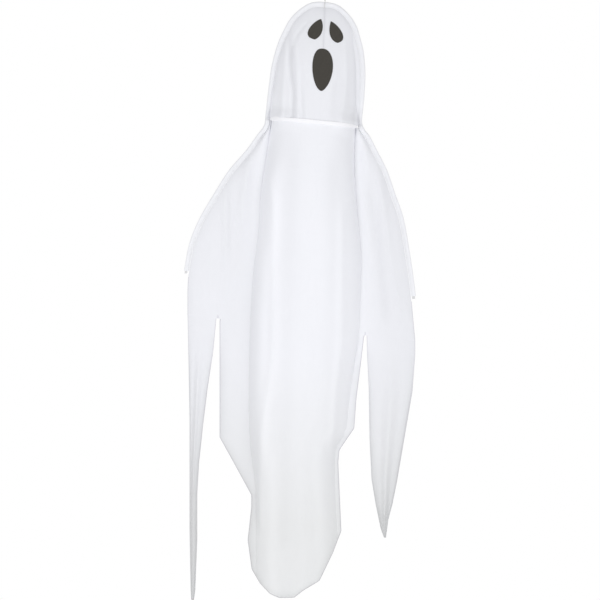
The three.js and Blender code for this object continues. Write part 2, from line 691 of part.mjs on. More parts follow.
add('head_front_left', hoodPanel(0, CENTRE, HALF_FACE_CELLS, -1, -GAP / 2), 'cloth');
add('head_front_right', hoodPanel(CENTRE, Math.PI, HALF_FACE_CELLS, -1, GAP / 2), 'cloth');
add('head_back', hoodPanel(0, Math.PI, 2 * HALF_FACE_CELLS, 1, 0), 'cloth');
add('gown_front', gownPanel(-1), 'cloth');
add('gown_back', gownPanel(1), 'cloth');
add('left_sleeve_front', sleevePanel(LEFT_SLEEVE, -1), 'cloth');
add('left_sleeve_back', sleevePanel(LEFT_SLEEVE, 1), 'cloth');
add('right_sleeve_front', sleevePanel(RIGHT_SLEEVE, -1), 'cloth');
add('right_sleeve_back', sleevePanel(RIGHT_SLEEVE, 1), 'cloth');
add('left_eye', patch(LEFT_EYE), 'felt');
add('right_eye', patch(RIGHT_EYE), 'felt');
add('mouth', patch(MOUTH), 'felt');
add('left_slit_tack', tack(LEFT_SLIT_TOP), 'casing');
add('right_slit_tack', tack(RIGHT_SLIT_TOP), 'casing');

export default group;
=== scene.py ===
# %% [markdown]
# # A hanging cloth ghost
#
# The object is a light ghost of thin white cloth. A bent rod holds its hood and shoulders in the shape of
# a bell, a second rod makes a hoop at the neck, and everything else is cloth that hangs from these two:
# a rounded hood with a felt face, a long gown with one broad fold down the middle, and two pointed sleeves.
# It hangs on a short cord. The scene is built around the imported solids, which give every piece its place.

# %% The frame
import json

import bpy
import numpy as np
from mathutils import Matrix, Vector


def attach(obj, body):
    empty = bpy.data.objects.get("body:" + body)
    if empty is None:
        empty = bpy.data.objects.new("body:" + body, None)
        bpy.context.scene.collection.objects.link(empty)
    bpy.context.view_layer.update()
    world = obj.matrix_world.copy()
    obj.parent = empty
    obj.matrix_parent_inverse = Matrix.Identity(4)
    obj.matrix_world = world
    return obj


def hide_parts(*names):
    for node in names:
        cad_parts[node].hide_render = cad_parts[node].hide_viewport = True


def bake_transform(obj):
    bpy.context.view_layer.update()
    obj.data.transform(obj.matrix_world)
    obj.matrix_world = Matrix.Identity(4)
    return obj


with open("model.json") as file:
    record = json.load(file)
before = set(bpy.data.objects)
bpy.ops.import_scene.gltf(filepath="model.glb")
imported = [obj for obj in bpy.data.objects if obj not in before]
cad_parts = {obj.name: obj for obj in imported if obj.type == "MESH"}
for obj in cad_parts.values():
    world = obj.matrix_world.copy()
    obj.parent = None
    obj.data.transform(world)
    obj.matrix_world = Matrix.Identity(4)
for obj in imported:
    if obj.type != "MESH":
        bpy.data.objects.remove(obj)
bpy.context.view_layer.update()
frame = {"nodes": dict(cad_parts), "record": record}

# %% [markdown]
# ## The camera
#
# In the picture the neck band is a straight line although the hoop behind it is an oval, so the lens was
# long and far away. The camera stands 14 m off and looks straight along Y, and one pixel is 3.56 mm.

# %% Camera
MM = 0.001
PIXEL = 3.56
IMAGE = 600
VIEW_X = -89.0
VIEW_Z = -1156.9
DISTANCE = 14000.0

camera_data = bpy.data.cameras.new("camera")
camera_data.sensor_width = 36.0
camera_data.lens = camera_data.sensor_width * DISTANCE / (IMAGE * PIXEL)
camera_data.clip_end = 200.0
camera = bpy.data.objects.new("camera", camera_data)
camera.location = (VIEW_X * MM, -DISTANCE * MM, VIEW_Z * MM)
camera.rotation_euler = (np.pi / 2, 0.0, 0.0)
bpy.context.scene.collection.objects.link(camera)
bpy.context.scene.camera = camera
print("lens", round(camera_data.lens, 1), "mm, picture", round(IMAGE * PIXEL), "mm wide")

# %% [markdown]
# ## Putting arrays into meshes
#
# Every new piece is an array of points that numpy works out in millimetres. One helper puts such an array
# into a mesh and leaves out the points that no face uses. Each corner of a face also gets its place on the
# flat cloth or along the cord, in metres, so that a weave keeps its size wherever the cloth is bent.

# %% A mesh from arrays
def unit(vectors):
    """Each vector divided by its own length."""
    return vectors / np.maximum(np.linalg.norm(vectors, axis=-1, keepdims=True), 1e-9)


def make_piece(name, points, faces, corner_uv, tone=None):
    """A mesh object at the origin from points in millimetres and a list of arrays of faces."""
    points = np.reshape(points, (-1, 3))
    used = np.unique(np.concatenate([np.ravel(block) for block in faces]))
    number = np.zeros(len(points), int)
    number[used] = np.arange(len(used))
    mesh = bpy.data.meshes.new(name)
    listed = [face for block in faces for face in number[block].tolist()]
    mesh.from_pydata((points[used] * MM).tolist(), [], listed)
    layer = mesh.uv_layers.new(name="cloth")
    layer.data.foreach_set("uv", np.concatenate(corner_uv).astype(np.float32).ravel())
    if tone is not None:
        attribute = mesh.attributes.new("tone", "FLOAT", "POINT")
        attribute.data.foreach_set("value", np.ravel(tone)[used % np.size(tone)].astype(np.float32))
    mesh.polygons.foreach_set("use_smooth", np.ones(len(mesh.polygons), bool))
    mesh.set_sharp_from_angle(angle=np.radians(55))
    piece = bpy.data.objects.new(name, mesh)
    bpy.context.scene.collection.objects.link(piece)
    return piece


print("(3, 4) made one long is", unit(np.array([3.0, 4.0])))

# %% [markdown]
# ## A profile carried along a path
#
# Cords, hems, cloth channels and knots are all long things with a section, so one helper carries a profile
# along a path. The section is turned by a facing direction that is kept square to the path. That direction
# never lies along the path here, so the frame cannot twist by itself, which a rule from point to point could.

# %% Swept pieces
def frames(path, facing):
    """Along, facing and side directions at each point of a path, each square to the other two."""
    along = unit(np.gradient(path, axis=0))
    facing = np.broadcast_to(facing, path.shape)
    face = unit(facing - (facing * along).sum(-1, keepdims=True) * along)
    return along, face, np.cross(along, face)


def lengths(path):
    """The length along a path up to each of its points."""
    return np.concatenate([[0.0], np.cumsum(np.linalg.norm(np.diff(path, axis=0), axis=1))])


def even(path, count):
    """The path again as a number of evenly spaced points, read in straight lines between its own."""
    along = lengths(path)
    places = np.linspace(0.0, along[-1], count)
    return np.stack([np.interp(places, along, path[:, k]) for k in range(3)], axis=1)


print("3 mm and then 4 mm make", lengths(np.array([[0.0, 0.0], [3.0, 0.0], [3.0, 4.0]]))[-1], "mm")

# %% [markdown]
# ## The surface along a path
#
# The points of the section stand in rings along the path. Neighbouring rings are joined by faces with four
# corners, and a cap closes each end. The cloth places run round the section and along the path in real
# lengths, so that the weave has the same size on every piece.

# %% Swept surface
def swept_arrays(path, profile, facing):
    """Points, faces and cloth places of a profile of (facing, side) pairs carried along a path."""
    path = np.asarray(path, float)
    _, face, side = frames(path, facing)
    steps = len(path)
    profile = np.broadcast_to(profile, (steps, *np.shape(profile)[-2:]))
    sides = profile.shape[1]
    points = path[:, None] + face[:, None] * profile[..., :1] + side[:, None] * profile[..., 1:]
    j, i = (value.ravel() for value in np.meshgrid(np.arange(steps - 1), np.arange(sides), indexing="ij"))
    rows = np.stack([j, j, j + 1, j + 1], 1)
    columns = np.stack([i, i + 1, i + 1, i], 1)
    quads = rows * sides + columns % sides
    ring = np.linalg.norm(np.roll(profile, -1, 1) - profile, axis=2).mean(0)
    around = np.concatenate([[0.0], np.cumsum(ring)])
    uv = np.stack([around[columns], lengths(path)[rows]], -1) * MM
    rim = np.arange(sides)
    caps = np.stack([rim[::-1], rim + (steps - 1) * sides])
    return points.reshape(-1, 3), [quads, caps], [uv.reshape(-1, 2), np.zeros((2 * sides, 2))]


def round_profile(radius, sides, turn):
    """A circle of points, or one for each step where the radius or the turn is a column."""
    angle = 2 * np.pi * np.arange(sides) / sides + turn
    return np.stack([radius * np.cos(angle), radius * np.sin(angle)], -1)


def swept(name, path, profile, facing):
    """A mesh of a profile carried along a path."""
    return make_piece(name, *swept_arrays(path, profile, facing))


def joined(name, parts):
    """One mesh from several sets of points, faces and cloth places."""
    points, faces, corner_uv, first = [], [], [], 0
    for part_points, part_faces, part_uv in parts:
        points.append(part_points)
        faces += [block + first for block in part_faces]
        corner_uv += part_uv
        first += len(part_points)
    return make_piece(name, np.concatenate(points), faces, corner_uv)


print("a quarter turn of a round profile starts at", round_profile(1.0, 12, np.pi / 2)[0].round(3))

# %% [markdown]
# ## The cord
#
# The ghost hangs on about 50 mm of thin twisted cord between the knot under its loop and the knot at the
# crown. It is pulled straight by the ghost's weight. Real cord of this kind is three plies laid together, so
# the section is a circle with three shallow grooves, and it turns once in every lay length. The loop above
# and the eye that goes round the hood's rod are the same cord, and the knots are cord wound on itself.

# %% Cord, loop, knots and eye
Y_AXIS = np.array([0.0, 1.0, 0.0])
Z_AXIS = np.array([0.0, 0.0, 1.0])
LEAN = np.radians(5.4)
CROWN_Z = -96.0
CORD_R = 0.8
LAY_LENGTH = 7.0
LOOP_WIDTH = 20.0
LOOP_HEIGHT = 30.0
KNOT_HALF = 4.0
KNOT_Z = -LOOP_HEIGHT - KNOT_HALF
CROWN_KNOT_Z = -91.1
CROWN_KNOT_HALF = 2.6
KNOT_CORD_R = 0.75
KNOT_CLEAR = 0.3
EYE_OPENING = 0.19


def smooth_line(points, per_piece=16):
    """A curve through points: cubics whose end slopes weigh both neighbours by root distance."""
    points = np.asarray(points, float)
    whole = np.vstack([2 * points[0] - points[1], points, 2 * points[-1] - points[-2]])
    gap = np.sqrt(np.linalg.norm(np.diff(whole, axis=0), axis=1))[:, None]
    before, here, after = gap[:-2], gap[1:-1], gap[2:]
    a, b, c, d = whole[:-3], whole[1:-2], whole[2:-1], whole[3:]
    leave = ((b - a) / before - (c - a) / (before + here) + (c - b) / here) * here
    arrive = ((c - b) / here - (d - b) / (here + after) + (d - c) / after) * here
    t = (np.arange(per_piece) / per_piece)[None, :, None]
    b, c, leave, arrive = b[:, None], c[:, None], leave[:, None], arrive[:, None]
    curve = (b * (2 * t**3 - 3 * t**2 + 1) + leave * (t**3 - 2 * t**2 + t)
             + c * (3 * t**2 - 2 * t**3) + arrive * (t**3 - t**2))
    return np.vstack([curve.reshape(-1, 3), points[-1:]])


def hood(r, y, s):
    """A place of the leaning hood: r across, y in depth, and s down its axis from the crown."""
    r, y, s = np.broadcast_arrays(r, y, s)
    x = r * np.cos(LEAN) - s * np.sin(LEAN)
    z = CROWN_Z - r * np.sin(LEAN) - s * np.cos(LEAN)
    return np.stack([x, y, z], -1).astype(float)


print("the hood leans", round(float(np.degrees(LEAN)), 1), "degrees")

# %% [markdown]
# ## Cord laid from three plies
#
# A knot is drawn as its cord wound round a small core, which is what can be seen of a knot that is pulled
# tight. The loop and the eye run through points that a smooth curve joins.

# %% Three-ply cord
def cord_arrays(path, facing, radius=CORD_R):
    """Three-ply cord: a circle with three grooves that turns as it goes along."""
    turn = 2 * np.pi * lengths(path)[:, None] / LAY_LENGTH
    sides = 15
    angle = 2 * np.pi * np.arange(sides) / sides
    groove = 0.8 + 0.2 * np.abs(np.cos(1.5 * angle)) ** 0.6
    return swept_arrays(path, round_profile(radius * groove, sides, turn), facing)


def wound(centre_z, radius, half, turns):
    """Cord wound round itself: a helix whose radius swells and falls like an egg's."""
    t = np.linspace(0.0, 1.0, 30 * turns)
    swell = (radius - CORD_R) * (0.35 + 0.65 * np.sin(np.pi * t) ** 0.6)
    z = centre_z + (half - CORD_R) * (2 * t - 1)
    angle = 2 * np.pi * turns * t
    return np.stack([swell * np.cos(angle), swell * np.sin(angle), z], -1)


cord_top = KNOT_Z - KNOT_HALF - KNOT_CLEAR
cord_bottom = CROWN_KNOT_Z + CROWN_KNOT_HALF + KNOT_CLEAR
cord_path = np.stack([np.zeros(32), np.zeros(32), np.linspace(cord_bottom, cord_top, 32)], 1)
hanging_cord = make_piece("hanging_cord", *cord_arrays(cord_path, Y_AXIS))

right_side = [[1.3, 0.3 - LOOP_HEIGHT], [0.4 * LOOP_WIDTH, -0.53 * LOOP_HEIGHT],
              [0.5 * LOOP_WIDTH, -0.3 * LOOP_HEIGHT]]
loop_corners = right_side + [[0.0, CORD_R]] + [[-x, z] for x, z in right_side[::-1]]
loop_path = even(smooth_line([[x, 0.0, z] for x, z in loop_corners]), 90)
cord_loop = make_piece("cord_loop", *cord_arrays(loop_path, Y_AXIS))

loop_knot_wound = joined("loop_knot_wound", [
    cord_arrays(wound(KNOT_Z, 3.2, KNOT_HALF, 4), Z_AXIS, KNOT_CORD_R),
    cord_arrays(wound(KNOT_Z, 2.1, KNOT_HALF, 3), Z_AXIS, KNOT_CORD_R)])
crown_knot_wound = joined("crown_knot_wound", [
    cord_arrays(wound(CROWN_KNOT_Z, 2.4, CROWN_KNOT_HALF, 3), Z_AXIS, KNOT_CORD_R)])

eye_angle = np.linspace(EYE_OPENING, 2 * np.pi - EYE_OPENING, 90)
eye_top, eye_bottom, eye_half = -1.2, 19.8, 6.4
eye_s = (eye_top + eye_bottom) / 2 - (eye_bottom - eye_top) / 2 * np.cos(eye_angle)
eye_path = hood(0.0, eye_half * np.sin(eye_angle), eye_s)
cord_eye = make_piece("cord_eye", *cord_arrays(eye_path, hood(1.0, 0.0, 0.0) - hood(0.0, 0.0, 0.0)))
print("cord", round(cord_top - cord_bottom, 1), "mm long between its knots")

# %% [markdown]
# ## The line of the frame
#
# The bent rod runs from the tip of one shoulder, over the hood and down to the other tip. Its cloth channel
# makes the outline, so a smooth curve through places on the outline comes first, and the rod's line and the
# inner edge of the channel are that curve moved inwards. The tables hold a drop below the crown and an x,
# both in millimetres, and a table is read either in straight lines or with a curve that never overshoots.

# %% Tables and the outline
CASING_HALF = 9.0
CASING_GAP = 0.6
ELBOW_REACH = 20.0
CAP_LENGTH = 9.0
SAMPLES = 1600
HOOD_OUTLINE = [[7, 48], [38, 91], [75, 120], [114, 137], [150, 150], [185, 158.5], [242, 167.5],
                [331, 171.5], [418, 173]]
LEFT_SHOULDER = [[438, -217], [473, -242], [527, -281], [598, -342], [687, -399], [776, -450],
                 [854, -482], [965, -504]]
RIGHT_SHOULDER = [[456, 143], [473, 157], [527, 185], [598, 221], [684, 251], [765, 279], [883, 301],
                  [975, 315], [1056, 325]]


def read(table, drop):
    """A table's value at a drop, in straight lines and held beyond its ends."""
    drops, values = np.array(table, float).T
    return np.interp(drop, drops, values)


def read_smooth(table, drop):
    """A monotone cubic: end slopes are harmonic means of the neighbouring slopes."""
    drops, values = np.array(table, float).T
    drop = np.clip(drop, drops[0], drops[-1])
    k = np.clip(np.searchsorted(drops, drop, side="right") - 1, 0, len(drops) - 2)
    span = np.diff(drops)
    slope = np.diff(values) / span
    product = slope[:-1] * slope[1:]
    total = np.where(product > 0, slope[:-1] + slope[1:], 1.0)
    inner = np.where(product > 0, 2 * product / total, 0.0)
    bend = np.concatenate([slope[:1], inner, slope[-1:]])
    t = (drop - drops[k]) / span[k]
    rise = slope[k] * span[k]
    early = bend[k] * span[k] - rise
    late = rise - bend[k + 1] * span[k]
    return values[k] + rise * t + t * (1 - t) * (early * (1 - t) + late * t)


def smoothstep(value, low, high):
    """0 below low and 1 above high, with a level start and end."""
    t = np.clip((value - low) / (high - low), 0.0, 1.0)
    return t * t * (3 - 2 * t)


def bell(distance, width):
    """e to the minus square of distance over width: 1 in the middle and 0.37 one width away."""
    return np.exp(-((distance / width) ** 2))


def inset(line, distance):
    """A line moved towards the inside of the ghost."""
    along = unit(np.gradient(line, axis=0))
    inward = np.stack([along[:, 2], np.zeros(len(line)), -along[:, 0]], 1)
    return line + distance * inward


def shoulder_points(table):
    """A shoulder's table as places in space."""
    return [[x, 0.0, CROWN_Z - drop] for drop, x in table]


def arch_points(side):
    """The hood's outline on one side, from the crown down."""
    return [hood(side * r, 0.0, s) for s, r in HOOD_OUTLINE]


outline_points = (shoulder_points(LEFT_SHOULDER)[::-1] + arch_points(-1)[::-1] + [hood(0.0, 0.0, 0.0)]
                  + arch_points(1) + shoulder_points(RIGHT_SHOULDER))
edge_line = even(smooth_line(outline_points, 60), SAMPLES)
rod_line = even(inset(edge_line, CASING_HALF), SAMPLES)
cloth_line = even(inset(edge_line, 2 * CASING_HALF + CASING_GAP), SAMPLES)
rod_lengths = lengths(rod_line)
rod_length = rod_lengths[-1]


def neck_length(table):
    """The length along the rod at which it passes nearest to a shoulder's first place."""
    corner = np.array(shoulder_points(table)[0])
    return rod_lengths[np.linalg.norm(rod_line - corner, axis=1).argmin()]


left_neck = neck_length(LEFT_SHOULDER)
right_neck = neck_length(RIGHT_SHOULDER)
print("rod", round(rod_length), "mm long, neck corners at", round(left_neck), "and", round(right_neck))

# %% [markdown]
# ## The shape of the hood
#
# The hood is an oval tube that closes towards the crown: its section is half an oval in front and half
# behind, and the front one is turned a little sideways, because the ghost looks past the viewer. Slack cloth
# falls in soft folds from the crown's shoulder to the neck. Each fold is a groove or a ridge along a line:
# its height falls off as a bell curve across the line and fades out past the line's ends. A simulation
# could fold the cloth too, but these folds have to lie where the real ones do. In the tables a fold is its
# line, its height, which is below zero for a groove, and its width.

# %% Folds
CLOTH_GAP = 0.65
CLOTH_THICK = 0.5
HOOP_S = 431.0
HOOP_HALF = 149.0
HOOP_DEPTH = 75.0
NECK_CASING_R = 4.8
HOOD_TOP = 17.6
HOOD_BULGE = 0.75
FACE_TURN = 0.28
DRAW_IN = 35.0
NECK_REACH = 6.5
EDGE_TUCK = 4.5
TUCK_RANGE = (280.0, 350.0)
CREASE_STRIP = 0.12
CREASE_START = (60.0, 160.0)
CREASE_END = (HOOP_S - 90.0, HOOP_S - 10.0)
ARCH_SOFT = 0.3
SOFT_RANGE = (4.0, 50.0)
CALM_CROWN = (25.0, 90.0)
HOOD_ENDS = (HOOD_TOP + 1.4, HOOP_S - 3.2)
FOLD_FADE = 70.0
GATHER_HEIGHT = 0.7
HOOD_FOLDS = {
    -1: [([[130, -128], [242, -122], [331, -112], [402, -113]], -6.0, 9.0),
         ([[120, -143], [242, -147], [331, -152], [405, -156]], 4.0, 10.0),
         ([[150, -106], [331, -97], [402, -98]], 3.0, 8.0),
         ([[290, -88], [410, -80]], -2.6, 6.0),
         ([[230, -74], [410, -64]], 1.8, 9.0),
         ([[70, -60], [120, -100], [170, -118]], -2.5, 9.0),
         ([[150, 74], [281, 78], [420, 62]], 2.5, 10.0),
         ([[250, 46], [420, 30]], -1.2, 12.0)],
    1: [([[120, -120], [260, -118], [402, -126]], -4.5, 11.0),
        ([[90, -96], [240, -90], [410, -96]], 3.5, 13.0),
        ([[160, -40], [300, -46], [415, -58]], -3.0, 12.0),
        ([[100, 6], [260, -2], [420, -12]], 2.6, 15.0),
        ([[130, 52], [280, 46], [420, 34]], -3.6, 11.0),
        ([[110, 84], [260, 80], [430, 70]], 3.0, 9.0)],
}


def fold(x, drop, line, height, width):
    """One groove or ridge: height times a bell curve of the distance to its line."""
    ends = smoothstep(drop, line[0][0] - FOLD_FADE, line[0][0] + FOLD_FADE)
    ends = ends * (1 - smoothstep(drop, line[-1][0], line[-1][0] + FOLD_FADE))
    return height * ends * bell(x - read_smooth(line, drop), width)


def folds(x, drop, table):
    """All the folds of a table added up."""
    return sum(fold(x, drop, *row) for row in table)


def gathers(x, away, pitch, reach):
    """Small upright puckers beside a sewn band, dying out with the distance from it."""
    wave = np.sin(2 * np.pi * (x + 3.1 * np.sin(x / 17.0)) / pitch) * (0.7 + 0.3 * np.sin(x / 23.0 + 1.0))
    return wave * np.exp(-np.abs(away) / reach)


print("folds", {facing: len(table) for facing, table in HOOD_FOLDS.items()})

# %% [markdown]
# ## The surface of the hood
#
# The depth of the cloth is worked out at each place of the front view. Across the hood it is an arch: one
# minus the share of the way out, squared, to a power. A half gives an oval, which the hoop forces on the
# cloth, and a larger power lets it run out flatter at its two sides, as slack cloth does above the hoop. The
# folds are added to the arch, and they die out where it does.

# %% Hood
def hood_place(x, z):
    """r and s of a place in the front view."""
    drop = CROWN_Z - z
    return x * np.cos(LEAN) + drop * np.sin(LEAN), drop * np.cos(LEAN) - x * np.sin(LEAN)


edge_r, edge_s = hood_place(cloth_line[:, 0], cloth_line[:, 2])
beside = (edge_r > 0) & (edge_s < HOOP_S)
order = np.argsort(edge_s[beside])
hood_edge = np.stack([edge_s[beside][order], edge_r[beside][order]], 1)


def hood_half(s):
    """Half width of the hood's cloth: into the channel low down, and drawn in to the hoop at the neck."""
    half = read(hood_edge, s) + EDGE_TUCK * smoothstep(s, *TUCK_RANGE)
    return half + (HOOP_HALF + NECK_REACH - half) * smoothstep(s, HOOP_S - DRAW_IN, HOOP_S)


def hood_bulge(s):
    """Depth of the hood on each side: a power of the way from the crown to the hoop."""
    share = np.clip((s - HOOD_TOP) / (HOOP_S - HOOD_TOP), 0.0, None)
    return np.maximum(HOOP_DEPTH * share**HOOD_BULGE - CLOTH_GAP, 0.0)


def hood_crease(s):
    """Where the front's fullness ends on the right, as a share of the way out: a flat strip lies beyond."""
    return 1 - CREASE_STRIP * smoothstep(s, *CREASE_START) * (1 - smoothstep(s, *CREASE_END))


def arch_height(share, away):
    """One minus share squared, to a power: a half on the hoop, and more away from it."""
    softness = ARCH_SOFT * smoothstep(away, *SOFT_RANGE)
    return (1 - np.clip(share, -1.0, 1.0) ** 2) ** (0.5 + softness)


def hood_depth(x, z, facing):
    """Depth of the hood's cloth at a place in the front view, with its folds."""
    r, s = hood_place(x, z)
    bulge = hood_bulge(s)
    half = hood_half(s)
    turn = -facing * FACE_TURN * bulge
    share = (r - turn) / np.where(r < turn, half + turn, half - turn)
    if facing < 0:
        share = np.where(share > 0, share / hood_crease(s), share)
    arch = arch_height(share, HOOP_S - s)
    drop = CROWN_Z - z
    slack = folds(x, drop, HOOD_FOLDS[facing]) + GATHER_HEIGHT * gathers(x, HOOP_S - s, 11.0, 16.0)
    return CLOTH_GAP + bulge * arch + slack * np.minimum(1.0, 1.6 * arch) * smoothstep(s, *CALM_CROWN)


def hood_grid(from_angle, to_angle, columns, facing, rows=150):
    """Rows down the hood's axis, closer near the crown, and columns evenly round it."""
    top, low = HOOD_ENDS
    s = top + (low - top) * np.linspace(0.0, 1.0, rows)[:, None] ** 1.25
    angle = np.linspace(from_angle, to_angle, columns)[None, :]
    bulge, half = hood_bulge(s), hood_half(s)
    turn = -facing * FACE_TURN * bulge
    reach = np.where(angle < np.pi / 2, half + turn, half - turn)
    flat = hood(turn - reach * np.cos(angle), 0.0, s)
    flat[..., 1] = facing * hood_depth(flat[..., 0], flat[..., 2], facing)
    return flat


print("hood", round(2 * float(hood_half(200.0))), "mm wide at s 200,", round(2 * HOOP_HALF), "mm at the hoop")

# %% [markdown]
# ## Cloth from a grid
#
# A sheet of cloth is a grid of points with half the cloth's thickness on each side. The thickness goes along
# the mean direction of the cells round each point, so it is the same on steep folds as on flat cloth, and
# cells can be left out where the cloth is cut. A Solidify modifier would do the same, but arrays keep the
# flat cloth's size, which is measured here as well. Each grid also carries a tone that the material reads:
# painted shade near the sewn edges, where the cloth turns away from the lamps, and in its hollows, where
# shade falls between the folds.

# %% Cloth
EDGE_REACH = 12.0
HOLLOW_DEPTH = 6.0


def edge_shade(distance):
    """Painted shade beside an edge: it falls off by the same share in every step away from it."""
    return np.exp(-np.maximum(distance, 0.0) / EDGE_REACH)


def groove_shade(x, drop, table):
    """Painted shade in the grooves among some folds: their depth as a share of a deep one's."""
    return np.clip(-folds(x, drop, table) / HOLLOW_DEPTH, 0.0, 1.0)


def cloth_piece(name, grid, keep=None, tone=None):
    """A closed thin sheet round a grid of points, and its flat size for later."""
    rows, columns = grid.shape[:2]
    keep = np.ones((rows - 1, columns - 1), bool) if keep is None else keep
    falling = grid[1:, 1:] - grid[:-1, :-1]
    rising = grid[1:, :-1] - grid[:-1, 1:]
    cross = np.cross(falling, rising)
    cell = np.pad(unit(cross) * keep[..., None], ((1, 1), (1, 1), (0, 0)))
    normal = unit(cell[1:, 1:] + cell[:-1, 1:] + cell[1:, :-1] + cell[:-1, :-1])
    points = np.stack([grid - normal * CLOTH_THICK / 2, grid + normal * CLOTH_THICK / 2])
    number = np.arange(rows * columns).reshape(rows, columns)
    j, i = np.nonzero(keep)
    corner = np.stack([number[j, i], number[j + 1, i], number[j + 1, i + 1], number[j, i + 1]], 1)
    shift = rows * columns
    around = np.pad(keep, 1)
    beyond = [around[j + 1, i], around[j + 2, i + 1], around[j + 1, i + 2], around[j, i + 1]]
    rim = []
    for k in range(4):
        a, b = corner[~beyond[k], k], corner[~beyond[k], (k + 1) % 4]
        rim.append(np.stack([b, a, a + shift, b + shift], 1))
    middle = columns // 2
    steps = np.linalg.norm(np.diff(grid, axis=1), axis=2)
    across = np.concatenate([np.zeros((rows, 1)), np.cumsum(steps, 1)], 1)
    across = across - across[:, middle:middle + 1]
    down = np.broadcast_to(lengths(grid[:, middle])[:, None], across.shape)
    flat = np.stack([across, down], -1).reshape(-1, 2) * MM
    faces = [corner, corner[:, ::-1] + shift, *rim]
    corner_uv = [flat[block % shift].reshape(-1, 2) for block in faces]
    both = None if tone is None else np.concatenate([np.ravel(tone), np.ravel(tone)])
    return make_piece(name, points, faces, corner_uv, both)


print("tone at an edge", edge_shade(0.0), "and 30 mm inside it", round(float(edge_shade(30.0)), 2))

# %% [markdown]
# ## The hood's panels
#
# The hood has two panels in front, which meet in a seam down the face, and one behind. Each is painted greyer
# as shade at its sewn edge, in its grooves and towards the crown, and in front also along the seam and along
# the crease on the right, where the fullness ends and a flat strip lies beside the channel. Each of these is
# a share of greyness times a curve that is 1 at the place and falls to 0 beside it.

# %% Hood cloth
EDGE_GREY = 0.5
EDGE_LESS = 0.4
GROOVE_GREY = 0.45
CROWN_SHADE = 0.25
CREASE_GREY = 0.22
CREASE_SHADE = 7.0
SEAM_GREY = 0.35
SEAM_SHADE = 5.0


def hood_cloth(name, from_angle, to_angle, columns, facing):
    """A panel of the hood with painted shade at its sewn edge, in its grooves and towards the crown."""
    grid = hood_grid(from_angle, to_angle, columns, facing)
    r, s = hood_place(grid[..., 0], grid[..., 2])
    inside = np.minimum(hood_half(s) - np.abs(r), s - HOOD_TOP)
    hollows = groove_shade(grid[..., 0], CROWN_Z - grid[..., 2], HOOD_FOLDS[facing])
    # Painted shade at the sewn edge, in the grooves and towards the crown, whose top faces away from the
    # lamps.
    edge = EDGE_GREY - EDGE_LESS * smoothstep(s, 300.0, 400.0)
    tone = edge * edge_shade(inside) + GROOVE_GREY * hollows + CROWN_SHADE * (1 - smoothstep(s, 0.0, 330.0))
    if facing < 0:
        turn = FACE_TURN * hood_bulge(s)
        crease = turn + (1 - CREASE_STRIP) * (hood_half(s) - turn)
        # Painted shade along the crease on the right, where the fold turns away from the light.
        tone = tone + CREASE_GREY * smoothstep(s, 100.0, 200.0) * bell(r - crease, CREASE_SHADE)
        # Painted shade in the shallow valley along the face seam.
        tone = tone + SEAM_GREY * (1 - smoothstep(s, 150.0, 175.0)) * bell(r - turn, SEAM_SHADE)
    return cloth_piece(name, grid, tone=tone)


hood_front_left = hood_cloth("hood_front_left_cloth", 0.0, np.pi / 2, 90, -1)
hood_front_right = hood_cloth("hood_front_right_cloth", np.pi / 2, np.pi, 90, -1)
hood_back = hood_cloth("hood_back_cloth", 0.0, np.pi, 170, 1)

# %% [markdown]
# ## The shape of the gown
#
# The gown is a front and a back panel. Flat wings hang from the two shoulder channels, and between them the
# cloth falls from the neck hoop in one broad fold, which has a valley on each side and a ridge along each of
# its shoulders. A row of the grid leans as the neck does at the top and as the underarm line does lower down.
# Below that line only the middle body goes on, and the sleeves are panels of their own.

# %% Gown outlines
NECK_EDGE = HOOP_S + NECK_CASING_R + 0.3
NECK_ROW = NECK_EDGE / np.cos(LEAN)
LEFT_EDGE = [[988, -486], [1025, -488], [1140, -488]]
RIGHT_EDGE = [[1074, 308], [1109, 311], [1205, 320]]
LEFT_BODY = [[1110, -374], [1549, -374], [1652, -317], [1755, -261], [1798, -261], [1915, -274],
             [2019, -260], [2068, -231], [2104, -196], [2118, -164]]
RIGHT_BODY = [[1180, 139], [1274, 128], [1417, 110], [1517, 103], [1595, 50], [1638, 46], [1883, 57],
              [1958, 28], [2058, -21], [2093, -78], [2118, -110]]


def neck_corner(r):
    """Drop and x of the gown's top at one end of the hoop."""
    x, _, z = hood(r, 0.0, NECK_EDGE)
    return [CROWN_Z - z, x]


LEFT_VALLEY = [neck_corner(-HOOP_HALF), [562, -210], [680, -228], [801, -235], [954, -253], [1168, -267],
               [1417, -271], [1559, -267], [1755, -246], [1890, -246]]
RIGHT_VALLEY = [neck_corner(HOOP_HALF), [562, 103], [740, 114], [918, 128], [1061, 125], [1189, 119],
                [1310, 100], [1417, 85], [1517, 75], [1602, 36], [1666, 34], [1890, 43]]
FOLD_DEPTH = [[440, HOOP_DEPTH], [740, 70], [1189, 60], [1549, 46], [1755, 38], [2118, 26]]
FREE_DROP = 1890.0
GOWN_TURN = 0.16
STRIP = 6.0
RIDGE_HEIGHT = 9.0
RIDGE_PLACE = 0.62
LEFT_SLIT_TOP = (1127.0, -381.0)
RIGHT_SLIT_TOP = (1187.0, 143.0)
LEFT_SLIT = (0.465, 0.52)
RIGHT_SLIT = (0.1, 0.14)
ARM_SLOPE = (RIGHT_SLIT_TOP[0] - LEFT_SLIT_TOP[0]) / (RIGHT_SLIT_TOP[1] - LEFT_SLIT_TOP[1])
ARM_ROW = LEFT_SLIT_TOP[0] - ARM_SLOPE * LEFT_SLIT_TOP[1]
LAST_ROW = 2118.0
ROW_SLOPE = [[NECK_ROW, np.tan(LEAN)], [ARM_ROW, ARM_SLOPE], [1700, 0.0]]
